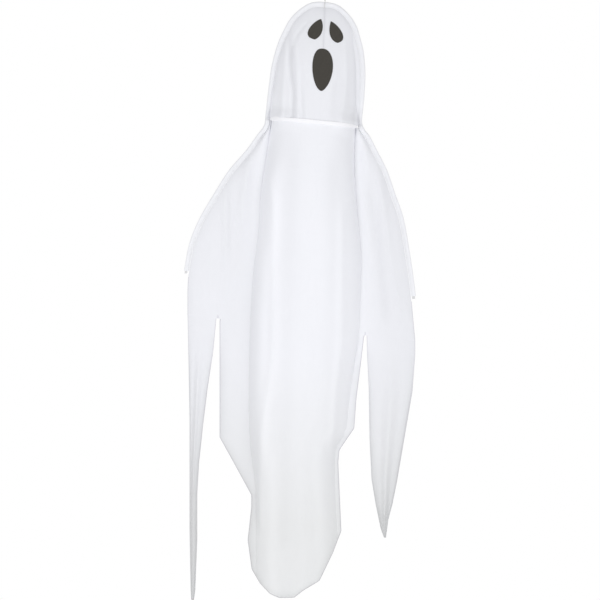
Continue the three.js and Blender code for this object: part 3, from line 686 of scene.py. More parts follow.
GOWN_FOLDS = {
    -1: [([[640, -196], [740, -184], [1168, -184], [1310, -194], [1577, -229], [1845, -233]], 4.5, 16.0),
         ([[740, 60], [1189, 58], [1417, 34], [1560, 26]], 3.0, 14.0),
         ([[520, -120], [900, -128], [1400, -140], [1900, -150]], -2.2, 30.0),
         ([[560, 30], [1000, 24], [1500, 8]], -2.0, 26.0),
         ([[669, -345], [865, -338]], -2.6, 7.0),
         ([[700, -362], [900, -356]], 2.2, 9.0),
         ([[560, -262], [700, -292], [900, -312]], 3.0, 15.0),
         ([[640, 150], [860, 186], [1100, 214]], -3.0, 17.0),
         ([[620, 190], [860, 230], [1100, 262]], 3.0, 15.0),
         ([[1190, -330], [1540, -322]], 3.0, 22.0),
         ([[1210, 112], [1500, 92]], 2.5, 12.0)],
    1: [([[600, -190], [900, -196], [1400, -208], [1860, -214]], 4.0, 18.0),
        ([[560, -70], [1000, -84], [1500, -96], [1980, -104]], -6.0, 26.0),
        ([[640, 40], [1100, 46], [1500, 30]], 4.0, 18.0),
        ([[640, -320], [950, -352]], -3.0, 14.0),
        ([[700, 160], [1050, 214]], -3.0, 16.0),
        ([[1190, -334], [1540, -326]], 3.0, 20.0)],
}


def wing_table(side, below):
    """Drop and x down the inner edge of one shoulder, and on below the rod's tip."""
    drop, x = CROWN_Z - cloth_line[:, 2], cloth_line[:, 0]
    near = (drop > HOOP_S / 2) & (drop < below[0][0]) & (side * (x + np.tan(LEAN) * drop) > 0)
    rows = np.stack([drop[near], x[near]], 1)
    return np.vstack([rows[np.argsort(rows[:, 0])], below])


LEFT_WING = wing_table(-1, LEFT_EDGE)
RIGHT_WING = wing_table(1, RIGHT_EDGE)
print("underarm line at drop", round(ARM_ROW), "in the middle, slope", round(ARM_SLOPE, 3))

# %% [markdown]
# ## The depth of the gown
#
# The depth is worked out at each place of the front view, as the hood's is. Between the valleys it is an
# arch with a shallow trough down its middle. Outside the valleys it is that of a wing: a low swell with
# upright waves in it, which goes down to nothing at both edges and towards the underarm line.

# %% Gown depth
WING_FADE = 160.0
WING_WAVE = 1.6
WING_PITCH = 62.0
WING_SHIFT = 9.0
WING_SWELL = 8.0
RIDGE_RANGE = (560.0, 1300.0)
CALM_HEM = (LAST_ROW, 1990.0)


def z_at(row, x):
    """Height of a row: level at the hem, and leaning more towards the neck."""
    return CROWN_Z - row - read(ROW_SLOPE, row) * x


def meet(table, row, reader=read):
    """The x at which each row meets an edge, found by going halfway again and again."""
    x = reader(table, row)
    for _ in range(20):
        x = (x + reader(table, CROWN_Z - z_at(row, x))) / 2
    return x


def wing_depth(x, drop, outer, inner, slit_top, facing):
    """A wing's cloth: a low swell that is nothing at both edges, with upright waves in it."""
    share = np.clip((x - outer) / np.where(inner == outer, 1.0, inner - outer), 0.0, 1.0)
    fade = smoothstep(slit_top - drop, 0.0, WING_FADE)
    wave = 1 + np.sin(2 * np.pi * (x + facing * WING_SHIFT) / WING_PITCH)
    swell = np.sin(np.pi * share**0.8)
    return fade * (WING_WAVE * np.sin(np.pi * share) * wave + WING_SWELL * swell)


def gown_depth(x, z, facing):
    """Depth of the gown's cloth at a place in the front view."""
    drop = CROWN_Z - z
    left, right = read_smooth(LEFT_VALLEY, drop), read_smooth(RIGHT_VALLEY, drop)
    left_wing = wing_depth(x, drop, read(LEFT_WING, drop), left, LEFT_SLIT_TOP[0], facing)
    right_wing = wing_depth(x, drop, read(RIGHT_WING, drop), right, RIGHT_SLIT_TOP[0], facing)
    crest = (left + right) / 2 - facing * GOWN_TURN * (right - left) / 2
    share = np.clip((x - crest) / np.where(x < crest, crest - left, right - crest), -1.0, 1.0)
    arch = arch_height(share, hood_place(x, z)[1] - HOOP_S)
    ridge = RIDGE_HEIGHT * smoothstep(drop, *RIDGE_RANGE)
    middle = arch * (read_smooth(FOLD_DEPTH, drop) - ridge * np.cos(np.pi * share / RIDGE_PLACE))
    base = np.where(x <= left, left_wing, np.where(x >= right, right_wing, middle))
    hem = smoothstep(drop, *CALM_HEM)
    slack = folds(x, drop, GOWN_FOLDS[facing]) * np.minimum(1.0, base / 8.0) * (0.4 + 0.6 * hem)
    tucks = GATHER_HEIGHT * gathers(x, hood_place(x, z)[1] - NECK_EDGE, 12.0, 18.0) * (x > left) * (x < right)
    return CLOTH_GAP + base + slack + tucks


print("depth of the gown at three heights",
      gown_depth(np.full(3, -80.0), CROWN_Z - np.array([500.0, 1200.0, 2000.0]), -1).round())

# %% [markdown]
# ## The grid of the gown
#
# Every row has the same number of columns, and each column keeps its part of the panel: the wing or sleeve
# side, the slit, the strip beside the fold and the fold itself. So the slits are simply the cells of two
# columns' stretch that are left out below the underarm line, and with them the sleeves, which hang below
# as panels of their own.

# %% Gown grid
def spread(start, end, cells):
    """Evenly spaced columns from start, left out, to end."""
    return start + (end - start) * np.arange(1, cells + 1)[None, :] / cells


LEFT_CELLS = (30, 8, 14)
RIGHT_CELLS = (6, 6, 34)
FOLD_CELLS = 90
UPPER_ROWS = 100
LOWER_ROWS = 120
NO_LIMIT = 1e9
FIRST = LEFT_CELLS[0] + LEFT_CELLS[1]
BEYOND = FIRST + LEFT_CELLS[2] + FOLD_CELLS + RIGHT_CELLS[0]


def gown_columns(row):
    """The x of each column on each row: left wing, slit, strip, fold, strip, slit and right wing."""
    row = row[:, None]
    upper = row <= ARM_ROW
    left_edge, right_edge = meet(LEFT_WING, row), meet(RIGHT_WING, row)
    left_body, right_body = meet(LEFT_BODY, row), meet(RIGHT_BODY, row)
    folded = np.minimum(row, FREE_DROP)
    left = np.maximum(meet(LEFT_VALLEY, folded, read_smooth), np.where(upper, -NO_LIMIT, left_body + STRIP))
    right = np.minimum(meet(RIGHT_VALLEY, folded, read_smooth), np.where(upper, NO_LIMIT, right_body - STRIP))
    left_out, left_in = (left_edge + (left - left_edge) * share for share in LEFT_SLIT)
    right_in, right_out = (right + (right_edge - right) * share for share in RIGHT_SLIT)
    left_slit, right_slit = np.where(upper, left_in, left_body), np.where(upper, right_in, right_body)
    angle = np.pi * np.arange(1, FOLD_CELLS + 1)[None, :] / FOLD_CELLS
    middle = (left + right) / 2 - (right - left) / 2 * np.cos(angle)
    return np.concatenate([
        left_edge, spread(left_edge, left_out, LEFT_CELLS[0]), spread(left_out, left_slit, LEFT_CELLS[1]),
        spread(left_slit, left, LEFT_CELLS[2]), middle, spread(right, right_slit, RIGHT_CELLS[0]),
        spread(right_slit, right_out, RIGHT_CELLS[1]), spread(right_out, right_edge, RIGHT_CELLS[2])], axis=1)


def gown_grid(facing):
    """The panel's points, row by row from the neck to the hem."""
    top = NECK_ROW - 1.4
    upper = top + (ARM_ROW - top) * (np.arange(UPPER_ROWS) / UPPER_ROWS) ** 1.2
    lower = LAST_ROW - (LAST_ROW - ARM_ROW) * (1 - np.arange(LOWER_ROWS + 1) / LOWER_ROWS) ** 1.35
    row = np.concatenate([upper, lower])
    x = gown_columns(row)
    z = z_at(row[:, None], x)
    return np.stack([x, facing * gown_depth(x, z, facing), z], -1)


gown_keep = np.ones((UPPER_ROWS + LOWER_ROWS, sum(LEFT_CELLS) + FOLD_CELLS + sum(RIGHT_CELLS)), bool)
gown_keep[UPPER_ROWS:, :FIRST] = False
gown_keep[UPPER_ROWS:, BEYOND:] = False
gown_grids = {facing: gown_grid(facing) for facing in (-1, 1)}
print("gown grid", gown_grids[-1].shape[:2], "points")

# %% [markdown]
# ## Painted shade on the gown
#
# The edges, the valleys beside the fold and the grooves are painted greyer as shade, the ridge beside the
# left valley is painted paler as a highlight, and each side of the ghost is painted a little greyer than its
# middle as shade. Every share of greyness has its place and its width here, and below 0 it makes the cloth
# paler than its own colour.

# %% Gown cloth
UPPER_GREY, LOWER_GREY = 0.3, 0.7
SLIT_ROWS = 16
LEFT_VALLEY_SHADE, LEFT_SHADE, LEFT_SHIFT = 0.3, 30.0, 9.0
RIGHT_VALLEY_SHADE, RIGHT_SHADE = 0.25, 20.0
RIDGE_HIGHLIGHT, RIDGE_WIDTH, RIDGE_SHIFT = 0.25, 22.0, 56.0
GOWN_GROOVE_GREY = 0.4
# Painted shade at the sides of the ghost, stronger on the right, away from the stronger lamp.
LEFT_GREY, LEFT_SIDE = 0.27, (215.0, 275.0)
RIGHT_GREY, RIGHT_SIDE = 0.4, (60.0, 260.0)
BELOW_NECK = (450.0, 560.0)


def side_shade(x):
    """Painted shade: both sides of the ghost are a little greyer than its middle, and the right one more."""
    return LEFT_GREY * smoothstep(-x, *LEFT_SIDE) + RIGHT_GREY * smoothstep(x, *RIGHT_SIDE)


def gown_shade(facing):
    """Painted shade of a gown panel at its edges, valleys, grooves and sides, less a painted ridge highlight.
    """
    grid = gown_grids[facing]
    x, z = grid[..., 0], grid[..., 2]
    drop = CROWN_Z - z
    upper = np.arange(len(grid)) < UPPER_ROWS
    first, last = np.where(upper, x[:, 0], x[:, FIRST]), np.where(upper, x[:, -1], x[:, BEYOND])
    # Painted shade beside the panel's edges, stronger on the body below the underarm line.
    inside = np.minimum(np.minimum(x - first[:, None], last[:, None] - x), z - z[-1].max())
    lower = LOWER_GREY * smoothstep(np.arange(len(grid)), UPPER_ROWS, UPPER_ROWS + SLIT_ROWS)
    strength = np.where(upper, UPPER_GREY, lower)
    left_line, right_line = read_smooth(LEFT_VALLEY, drop), read_smooth(RIGHT_VALLEY, drop)
    # Painted shade in the valleys on each side of the broad fold.
    left = bell(x - left_line - LEFT_SHIFT, LEFT_SHADE) * (1 - 0.6 * smoothstep(drop, 1600.0, 1800.0))
    right = bell(x - right_line, RIGHT_SHADE) * (1 - 0.8 * smoothstep(drop, 700.0, 1250.0))
    # Painted highlight on the ridge beside the left valley, whose flank faces the stronger left lamp.
    ridge = bell(x - left_line - RIDGE_SHIFT, RIDGE_WIDTH) * smoothstep(drop, 480.0, 700.0)
    valleys = (LEFT_VALLEY_SHADE * left + RIGHT_VALLEY_SHADE * right) * smoothstep(drop, *BELOW_NECK)
    tone = strength[:, None] * edge_shade(inside) + valleys - RIDGE_HIGHLIGHT * ridge
    # Painted shade in the grooves among the folds, and at the sides.
    return tone + GOWN_GROOVE_GREY * groove_shade(x, drop, GOWN_FOLDS[facing]) + side_shade(x)


gown_front = cloth_piece("gown_front_cloth", gown_grids[-1], gown_keep, tone=gown_shade(-1))
gown_back = cloth_piece("gown_back_cloth", gown_grids[1], gown_keep, tone=gown_shade(1))

# %% [markdown]
# ## The sleeves
#
# Each sleeve is a front and a back panel sewn together along both edges, so its section is a flat pod that
# grows narrower to the point. It starts on the underarm line, flat like the wing above it, so that the two
# read as one cloth there. Long pleats run down it, because the cloth hangs free, and painted shade makes it
# greyer along its sewn edges and towards its point.

# %% Sleeves
SLEEVE_SWELL = 260.0
SLEEVE_ROUND = 0.4
SLEEVE_OVERLAP = 0.15
SLEEVE_EDGE_GREY = 0.45
WING_EDGE_GREY = 0.3
POINT_SHADE = 0.2
LEFT_SLEEVE = {
    "outer": [[1110, -488], [1310, -484], [1488, -481], [1880, -481], [2093, -477], [2129, -475]],
    "inner": [[1110, -387], [1239, -399], [1381, -420], [1513, -436], [1648, -450], [1755, -456],
              [1915, -456], [2093, -463], [2129, -468]],
    "end": 2129.0, "depth": 11.0, "turn": 0.4}
RIGHT_SLEEVE = {
    "outer": [[1170, 320], [1246, 320], [1381, 310], [1488, 292], [1595, 274], [1702, 256], [1787, 239],
              [1844, 224], [1906, 216]],
    "inner": [[1170, 149], [1260, 151], [1381, 157], [1559, 160], [1702, 167], [1791, 182], [1873, 199],
              [1906, 211]],
    "end": 1906.0, "depth": 16.0, "turn": -0.3}


def sleeve_grid(sleeve, facing, rows=150, columns=44):
    """Rows from the underarm line to the point: half an oval across, with pleats that run down."""
    middle = (meet(sleeve["outer"], ARM_ROW) + meet(sleeve["inner"], ARM_ROW)) / 2
    start = CROWN_Z - z_at(ARM_ROW, middle) - SLEEVE_OVERLAP
    t = np.linspace(0.0, 1.0, rows)[:, None]
    drop = start + (sleeve["end"] - start) * t
    edges = np.sort(np.stack([read(sleeve["outer"], drop), read(sleeve["inner"], drop)]), axis=0)
    width = edges[1] - edges[0]
    full = np.minimum(sleeve["depth"], SLEEVE_ROUND * width) * smoothstep(drop - start, 0.0, SLEEVE_SWELL)
    share = np.linspace(0.0, 1.0, columns)[None, :]
    x = edges[0] + width * share
    pod = np.sqrt(np.clip(4 * share * (1 - share), 0.0, 1.0))
    pleat = (0.25 * facing * np.sin(3 * np.pi * share)
             + 0.12 * np.sin(2 * np.pi * (2.6 * share + sleeve["turn"] * t)))
    y = facing * (CLOTH_GAP + full * (pod + pleat * pod))
    return np.stack([x, y, CROWN_Z - drop - ARM_SLOPE * (1 - t) * (x - middle)], -1)


sleeve_grids = {(side, facing): sleeve_grid(sleeve, facing)
                for side, sleeve in (("left", LEFT_SLEEVE), ("right", RIGHT_SLEEVE)) for facing in (-1, 1)}
sleeves = {}
for (side, facing), grid in sleeve_grids.items():
    name = f"{side}_sleeve_{'front' if facing < 0 else 'back'}_cloth"
    x = grid[..., 0]
    edges = [edge_shade(x - x[:, :1]), edge_shade(x[:, -1:] - x)]
    outer, inner = edges if side == "left" else edges[::-1]
    along = np.linspace(0.0, 1.0, len(grid))[:, None]
    below = smoothstep(along, 0.0, 0.12)
    outer_grey = WING_EDGE_GREY + (SLEEVE_EDGE_GREY - WING_EDGE_GREY) * below
    # Painted shade along the sewn edges and towards the point.
    tone = outer_grey * outer + SLEEVE_EDGE_GREY * below * inner + POINT_SHADE * smoothstep(along, 0.45, 1.0)
    sleeves[side, facing] = cloth_piece(name, grid, tone=tone + side_shade(x))

# %% [markdown]
# ## The cloth channels round the rod
#
# The edge of the cloth is folded over the bent rod and sewn down, which makes the double line round the
# whole outline. Its section is a soft drop: round over the rod and flat where the seam is. The channel
# puckers between its stitches and swells over the plastic connector at each neck corner, where the ends of
# the shoulder channels are tucked into the head's. The section changes along the rod, so it is an array of
# profiles and not one.

# %% Channels
ELBOW_COVER = 8.7
CHANNEL_HALF = 4.7
SEAM_HALF = 1.15
TUCK = 7.0
TUCK_SIZE = 0.97


def channel_profile(along, swell, width):
    """Drop-shaped sections: depth falls from the rod to the seam, with puckers that are strongest there."""
    turn = -2 * np.pi * np.arange(28)[None, :] / 28
    out = np.cos(turn)
    side = width * np.sign(out) * np.abs(out) ** 0.9
    rod_side = CHANNEL_HALF + (ELBOW_COVER - CHANNEL_HALF) * swell
    flat = SEAM_HALF + (ELBOW_COVER - SEAM_HALF) * 0.75 * swell
    full = flat + (rod_side - flat) * smoothstep(side, -0.8 * CASING_HALF, 0.25 * CASING_HALF)
    depth = full * np.sqrt(np.clip(1 - (side / (width + 0.02)) ** 6, 0.0, 1.0))
    seam = bell(side + 0.66 * CASING_HALF, 1.5)
    pucker = np.sin(2 * np.pi * along / 8.5 + 1.4 * np.sin(along / 31.0)) * (0.5 + 0.5 * np.sin(along / 47.0))
    pucker = pucker + 0.6 * np.sin(2 * np.pi * along / 21.0 + 2.0)
    crinkle = 0.28 * pucker * bell(side + 0.35 * CASING_HALF, 5.0)
    depth = np.maximum(depth - (0.35 * seam - crinkle) * (1 - swell), 0.25)
    return np.stack([depth * np.sign(np.sin(turn) + 1e-9) * (np.abs(np.sin(turn)) > 1e-6), side], -1)


def channel(name, start, end, swell_at, size=1.0):
    """One stretch of channel; swell_at lists the places along the rod where it goes over a connector."""
    count = int((end - start) / 2.1)
    along = np.linspace(start, end, count)
    path = np.stack([np.interp(along, rod_lengths, rod_line[:, k]) for k in range(3)], axis=1)
    along = along[:, None]
    swell = sum(1 - smoothstep(np.abs(along - place), ELBOW_REACH - 1.0, ELBOW_REACH + 9.0)
                for place in swell_at)
    close = smoothstep(along, start - 1.0, start + 3.0) * (1 - smoothstep(along, end - 3.0, end + 1.0))
    ends = np.maximum(close, smoothstep(swell, 0.0, 0.5))
    profile = size * channel_profile(along, swell, CASING_HALF * (0.93 + 0.07 * ends))
    return swept(name, path, profile, Y_AXIS)


cap_end = CAP_LENGTH + 0.3
head_channel = channel("head_channel_cloth", left_neck, right_neck, (left_neck, right_neck))
left_channel = channel("left_shoulder_channel_cloth", cap_end, left_neck + TUCK, (left_neck,), TUCK_SIZE)
right_channel = channel("right_shoulder_channel_cloth", right_neck - TUCK, rod_length - cap_end,
                        (right_neck,), TUCK_SIZE)
print("channel", round(rod_length - 2 * cap_end), "mm from end to end")

# %% [markdown]
# ## The neck band
#
# The hoop runs inside a narrow band of cloth, gathered a little, with the hood sewn to its upper edge and
# the gown to its lower one. It is the whitest line on the ghost, because there the cloth lies in four
# layers. At the back the band stops on each side of the sleeve that joins the hoop's ends.

# %% Neck band
JOINER_LENGTH = 24.0
BAND_HALF = 7.7
BAND_THICK = 5.4
BAND_SQUARE = 0.45
SIDE_GAP = 0.15


def hoop_path(start, end, count):
    """Part of the hoop: two half ovals whose fullest places are turned to opposite sides."""
    turn = np.mod(np.linspace(start, end, count), 2 * np.pi)
    angle = np.minimum(turn, 2 * np.pi - turn)
    facing = np.where(turn < np.pi, -1.0, 1.0)
    shift = -facing * FACE_TURN * HOOP_DEPTH
    reach = np.where(angle < np.pi / 2, HOOP_HALF + shift, HOOP_HALF - shift)
    return hood(shift - reach * np.cos(angle), facing * HOOP_DEPTH * np.sin(angle), HOOP_S)


def band_profile(path):
    """An oval section made squarer: each sine and cosine is raised to a power below one."""
    along = lengths(path)[:, None]
    turn = 2 * np.pi * np.arange(28)[None, :] / 28
    wave = (np.sin(2 * np.pi * along / 7.5 + 1.7 * np.sin(along / 29.0))
            + 0.5 * np.sin(2 * np.pi * along / 17.0))
    height = BAND_HALF + 0.3 * wave + 0.6 * np.sin(along / 19.0)
    across = np.sign(np.cos(turn)) * np.abs(np.cos(turn)) ** BAND_SQUARE
    out = np.sign(np.sin(turn)) * np.abs(np.sin(turn)) ** BAND_SQUARE
    return np.stack([height * across, (BAND_THICK + 0.12 * wave) * out], -1)


def band(name, start, end, count):
    """One stretch of the neck band."""
    path = even(hoop_path(start, end, 4 * count), count)
    return swept(name, path, band_profile(path), hood(0.0, 0.0, 1.0) - hood(0.0, 0.0, 0.0))


side_turn = SIDE_GAP / HOOP_DEPTH
open_turn = (JOINER_LENGTH / 2 + 0.3) / HOOP_HALF
neck_front = band("neck_band_front", side_turn, np.pi - side_turn, 240)
neck_back_left = band("neck_band_back_left", open_turn - np.pi / 2, -side_turn, 130)
neck_back_right = band("neck_band_back_right", np.pi + side_turn, 1.5 * np.pi - open_turn, 130)
print("hoop", round(lengths(hoop_path(0.0, 2 * np.pi, 800))[-1]), "mm round")

# %% [markdown]
# ## Hems and seams
#
# Where the cloth ends it has a narrow rolled hem, closed with overlock thread. A hem is a thin tube along the
# edge of the panel's own grid, so it follows every fold, and the thread shows as a fine turn in its section.
# The two panels of a wing and of a sleeve are sewn together, so one hem closes both.

# %% Hems
HEM_R = 1.25
THREAD_PITCH = 2.4
SEAM_END = 172.0


def hem_arrays(path, radius=HEM_R):
    """A rolled edge: a circle with two low ribs of thread that wind round it."""
    path = even(path, max(int(lengths(path)[-1] / 3.0), 8))
    turn = 2 * np.pi * np.arange(8)[None, :] / 8
    rib = 1 + 0.07 * np.cos(2 * turn - 2 * np.pi * lengths(path)[:, None] / THREAD_PITCH)
    section = np.stack([radius * rib * np.cos(turn), radius * rib * np.sin(turn)], -1)
    return swept_arrays(path, section, Y_AXIS)


def panel_edge(grid):
    """The free edge of a gown panel: down the left side, along the hem and up the right side."""
    left = grid[UPPER_ROWS:, FIRST]
    hem = grid[-1, FIRST + 1:BEYOND]
    right = grid[UPPER_ROWS:, BEYOND][::-1]
    return np.concatenate([left, hem, right])


def wing_edge(side):
    """The sewn edge of a wing, from the rod's tip down to the underarm line."""
    column = 0 if side == "left" else -1
    edge = gown_grids[-1][:UPPER_ROWS + 1, column]
    low = CROWN_Z - (LEFT_EDGE if side == "left" else RIGHT_EDGE)[0][0] + 14.0
    return edge[edge[:, 2] < low] * [1.0, 0.0, 1.0]


def sleeve_edge(side):
    """Both sewn edges of a sleeve, from the underarm down one side, round the point and up the other."""
    grid = sleeve_grids[side, -1]
    tip = grid[-1].mean(0)[None]
    return np.concatenate([grid[:, 0], tip, grid[::-1, -1]]) * [1.0, 0.0, 1.0]


gown_hems = {facing: joined(f"gown_{'front' if facing < 0 else 'back'}_hem", [hem_arrays(panel_edge(grid))])
             for facing, grid in gown_grids.items()}
wing_hems = {side: joined(f"{side}_wing_hem", [hem_arrays(wing_edge(side))]) for side in ("left", "right")}
sleeve_hems = {side: joined(f"{side}_sleeve_hem", [hem_arrays(sleeve_edge(side), 1.15)])
               for side in ("left", "right")}


def face_line(s, lift):
    """The line down the face from the crown to the mouth, where the hood's front panels meet."""
    flat = hood(FACE_TURN * hood_bulge(s), 0.0, s)
    flat[:, 1] = -hood_depth(flat[:, 0], flat[:, 2], -1) - lift
    return flat


face_seam = joined("face_seam", [hem_arrays(face_line(np.linspace(20.0, SEAM_END, 90), 0.15), 0.7)])
print("hem", round(lengths(panel_edge(gown_grids[-1]))[-1]), "mm round each gown panel")

# %% [markdown]
# ## The felt face
#
# Two drops and a long egg of dark felt are sewn on. Each is a grid that runs from its pointed end to its
# round end. The two sides of a patch differ, as hand-cut ones do: the width of each is its greatest width
# times share to one power times one minus share to another, divided by the same product where it is largest.
# Every point lies on the hood's own surface, a little in front of it, and the felt thins at its rim.

# %% Felt
LEFT_EYE = {"tip": (61.9, -13.9), "base": (135.3, -38.1), "sides": ((30.6, 0.75, 0.3), (17.1, 0.9, 0.75))}
RIGHT_EYE = {"tip": (69.8, 20.3), "base": (147.0, 46.3), "sides": ((18.2, 1.05, 0.7), (25.6, 0.8, 0.35))}
MOUTH = {"tip": (320.0, -12.8), "base": (168.0, -10.0), "sides": ((39.2, 0.65, 0.45), (33.9, 0.55, 0.4))}
FELT = 1.5
FELT_GAP = 0.3


def side_width(share, width, point, base):
    """Width of one side: share**point times (1 - share)**base, with its largest value made the width."""
    fullest = point / (point + base)
    return width * (share / fullest) ** point * ((1 - share) / (1 - fullest)) ** base


def patch_place(patch, share, across):
    """x and z of a place on a patch: share runs along it, across runs from -1 to 1 over its width."""
    (tip_drop, tip_x), (base_drop, base_x) = patch["tip"], patch["base"]
    length = np.hypot(base_drop - tip_drop, base_x - tip_x)
    go_x, go_z = (base_x - tip_x) / length, -(base_drop - tip_drop) / length
    first, second = (side_width(share, *side) for side in patch["sides"])
    side = np.where(across < 0, first, second) * across
    x = tip_x + go_x * length * share - go_z * side
    z = CROWN_Z - tip_drop + go_z * length * share + go_x * side
    return x, z


def felt_patch(name, patch, rows=64, columns=33):
    """A thin closed pad on the face, flat across and rounded down to the cloth at its rim."""
    share = (1 - 0.9985 * np.cos(np.linspace(0.0, np.pi, rows)))[:, None] / 2
    across = np.sin(np.linspace(-np.pi / 2, np.pi / 2, columns))[None, :]
    x, z = patch_place(patch, share, across)
    rim = (np.sqrt(np.clip(1 - np.abs(across) ** 10, 0.0, 1.0))
           * np.sqrt(np.clip(1 - np.abs(2 * share - 1) ** 16, 0.0, 1.0)))
    bed = -hood_depth(x, z, -1) - CLOTH_THICK / 2
    back = np.stack([x, bed - 0.05, z], -1)
    front = np.stack([x, bed - FELT_GAP - FELT * (0.35 + 0.65 * rim), z], -1)
    number = np.arange(rows * columns).reshape(rows, columns)
    corner = np.stack([number[:-1, :-1], number[1:, :-1], number[1:, 1:], number[:-1, 1:]], -1).reshape(-1, 4)
    shift = rows * columns
    border = np.concatenate([number[:, 0], number[-1, 1:], number[-2::-1, -1], number[0, -2::-1]])
    a, b = border[:-1], border[1:]
    wall = np.stack([b, a, a + shift, b + shift], 1)
    flat = np.stack([x, z], -1).reshape(-1, 2) * MM
    faces = [corner, corner[:, ::-1] + shift, wall]
    points = np.stack([front, back])
    return make_piece(name, points, faces, [flat[block % shift].reshape(-1, 2) for block in faces])


left_eye = felt_patch("left_eye_felt", LEFT_EYE)
right_eye = felt_patch("right_eye_felt", RIGHT_EYE)
mouth = felt_patch("mouth_felt", MOUTH)
print("mouth", [round(float(v) / MM) for v in mouth.dimensions], "mm")

# %% [markdown]
# ## Stitches
#
# Machine stitches hold the channels, the neck band and the felt. Each is a short thread that dips into the
# cloth at both ends. They are all made at once: one small shape of four rings is turned to each stitch's
# direction and set at its place, so a seam of five hundred stitches is still a single mesh.

# %% Stitches
STITCH_SIDES = 5
STITCH_RINGS = 4
CHANNEL_PITCH = 4.0


def stitches(places, outward, length=2.6, radius=0.36):
    """Threads at the middle of each step of the places, along the line and lying on the outward side."""
    step = np.linalg.norm(np.diff(places, axis=0), axis=1)
    good = step < 3.5 * length
    middle = ((places[1:] + places[:-1]) / 2)[good]
    along = unit(places[1:] - places[:-1])[good]
    up = np.broadcast_to(outward, places.shape)[:-1][good]
    up = unit(up - (up * along).sum(1, keepdims=True) * along)
    side = np.cross(along, up)
    place = np.array([-0.5, -0.3, 0.3, 0.5]) * length
    size = np.array([0.35, 1.0, 1.0, 0.35]) * radius
    height = np.array([-0.25, 0.35, 0.35, -0.25]) * radius
    turn = 2 * np.pi * np.arange(STITCH_SIDES) / STITCH_SIDES
    points = (middle[:, None, None] + along[:, None, None] * place[None, :, None, None]
              + up[:, None, None] * (height[:, None] + size[:, None] * np.cos(turn))[None, :, :, None]
              + side[:, None, None] * (size[:, None] * np.sin(turn))[None, :, :, None])
    count = len(middle)
    ring = np.arange(STITCH_SIDES)
    j, i = (value.ravel() for value in np.meshgrid(np.arange(STITCH_RINGS - 1), ring, indexing="ij"))
    here, following = j * STITCH_SIDES + i, j * STITCH_SIDES + (i + 1) % STITCH_SIDES
    quads = np.stack([here, here + STITCH_SIDES, following + STITCH_SIDES, following], 1)[:, ::-1]
    caps = np.stack([ring[::-1], ring + (STITCH_RINGS - 1) * STITCH_SIDES])
    shift = STITCH_RINGS * STITCH_SIDES * np.arange(count)[:, None, None]
    faces = [(quads[None] + shift).reshape(-1, 4), (caps[None] + shift).reshape(-1, STITCH_SIDES)]
    corner_uv = [np.tile([[0.0, 0.0], [0.002, 0.0], [0.002, 0.0005], [0.0, 0.0005]], (len(faces[0]), 1)),
                 np.zeros((STITCH_SIDES * len(faces[1]), 2))]
    return points.reshape(-1, 3), faces, corner_uv


def channel_seam(start, end, facing):
    """Places along the flat side of a channel, for one side of the ghost."""
    along = np.arange(start, end, CHANNEL_PITCH)
    path = np.stack([np.interp(along, rod_lengths, rod_line[:, k]) for k in range(3)], axis=1)
    _, _, side = frames(path, Y_AXIS)
    return path - side * 0.68 * CASING_HALF + facing * Y_AXIS * (SEAM_HALF + 0.05)


def channel_stitches(name, start, end):
    """The seam of one stretch of channel, on the front and on the back."""
    parts = [stitches(channel_seam(start, end, facing), facing * Y_AXIS) for facing in (-1, 1)]
    return joined(name, parts)


clear = ELBOW_REACH + 10.0
head_stitches = channel_stitches("head_channel_stitches", left_neck + clear, right_neck - clear)
left_stitches = channel_stitches("left_shoulder_stitches", cap_end + 4.0, left_neck - clear)
right_stitches = channel_stitches("right_shoulder_stitches", right_neck + clear, rod_length - cap_end - 4.0)


def band_stitches(name, start, end):
    """Two rows of stitches just inside the lips of the neck band."""
    path = hoop_path(start, end, 3000)
    path = even(path, int(lengths(path)[-1] / 4.0))
    axis = hood(0.0, 0.0, 1.0) - hood(0.0, 0.0, 0.0)
    _, face, side = frames(path, axis)
    outward = -side if (side * (path - path.mean(0)) * [1, 1, 0]).sum() < 0 else side
    rows = [path + outward * 2.5 + face * way * 3.75 for way in (-1, 1)]
    return joined(name, [stitches(row, outward, 2.4, 0.34) for row in rows])


neck_front_stitches = band_stitches("neck_band_front_stitches", side_turn, np.pi - side_turn)
neck_left_stitches = band_stitches("neck_band_left_stitches", open_turn - np.pi / 2, -side_turn)
neck_right_stitches = band_stitches("neck_band_right_stitches", np.pi + side_turn, 1.5 * np.pi - open_turn)
print("stitches in the head's channel", len(head_stitches.data.vertices) // (STITCH_SIDES * STITCH_RINGS))

# %% [markdown]
# ## Stitches round the felt and at the slits
#
# The felt is sewn down with dark thread a little inside its rim: the rim is moved inwards, and the moved
# line is laid on the felt's surface. Each underarm slit is closed at its top by a tack, an upright zigzag of
# thread that keeps the slit from tearing further.

# %% Felt stitches and tacks
PATCH_INSIDE = 2.6
PATCH_PITCH = 4.2
TACK_HALF = 5.0
TACK_UP = 6.5


def patch_stitches(name, patch):
    """Stitches round a felt patch, a little inside its rim."""
    share = (1 - np.cos(np.linspace(0.02, np.pi - 0.02, 200))) / 2
    x, z = patch_place(patch, np.concatenate([share, share[::-1]]),
                       np.concatenate([np.full(200, -1.0), np.full(200, 1.0)]))
    rim = np.stack([x, 0 * x, z], 1)
    centre = rim.mean(0)
    along = unit(np.roll(rim, -3, 0) - np.roll(rim, 3, 0))
    inward = np.cross(along, Y_AXIS)
    inward = inward * np.sign((inward * (centre - rim)).sum(1, keepdims=True))
    line = rim + PATCH_INSIDE * inward
    line = even(np.vstack([line, line[:1]]), int(lengths(line)[-1] / PATCH_PITCH))
    line[:, 1] = -hood_depth(line[:, 0], line[:, 2], -1) - CLOTH_THICK / 2 - FELT_GAP - FELT - 0.02
    return joined(name, [stitches(line, -Y_AXIS, 2.8, 0.34)])


left_eye_stitches = patch_stitches("left_eye_stitches", LEFT_EYE)
right_eye_stitches = patch_stitches("right_eye_stitches", RIGHT_EYE)
mouth_stitches = patch_stitches("mouth_stitches", MOUTH)


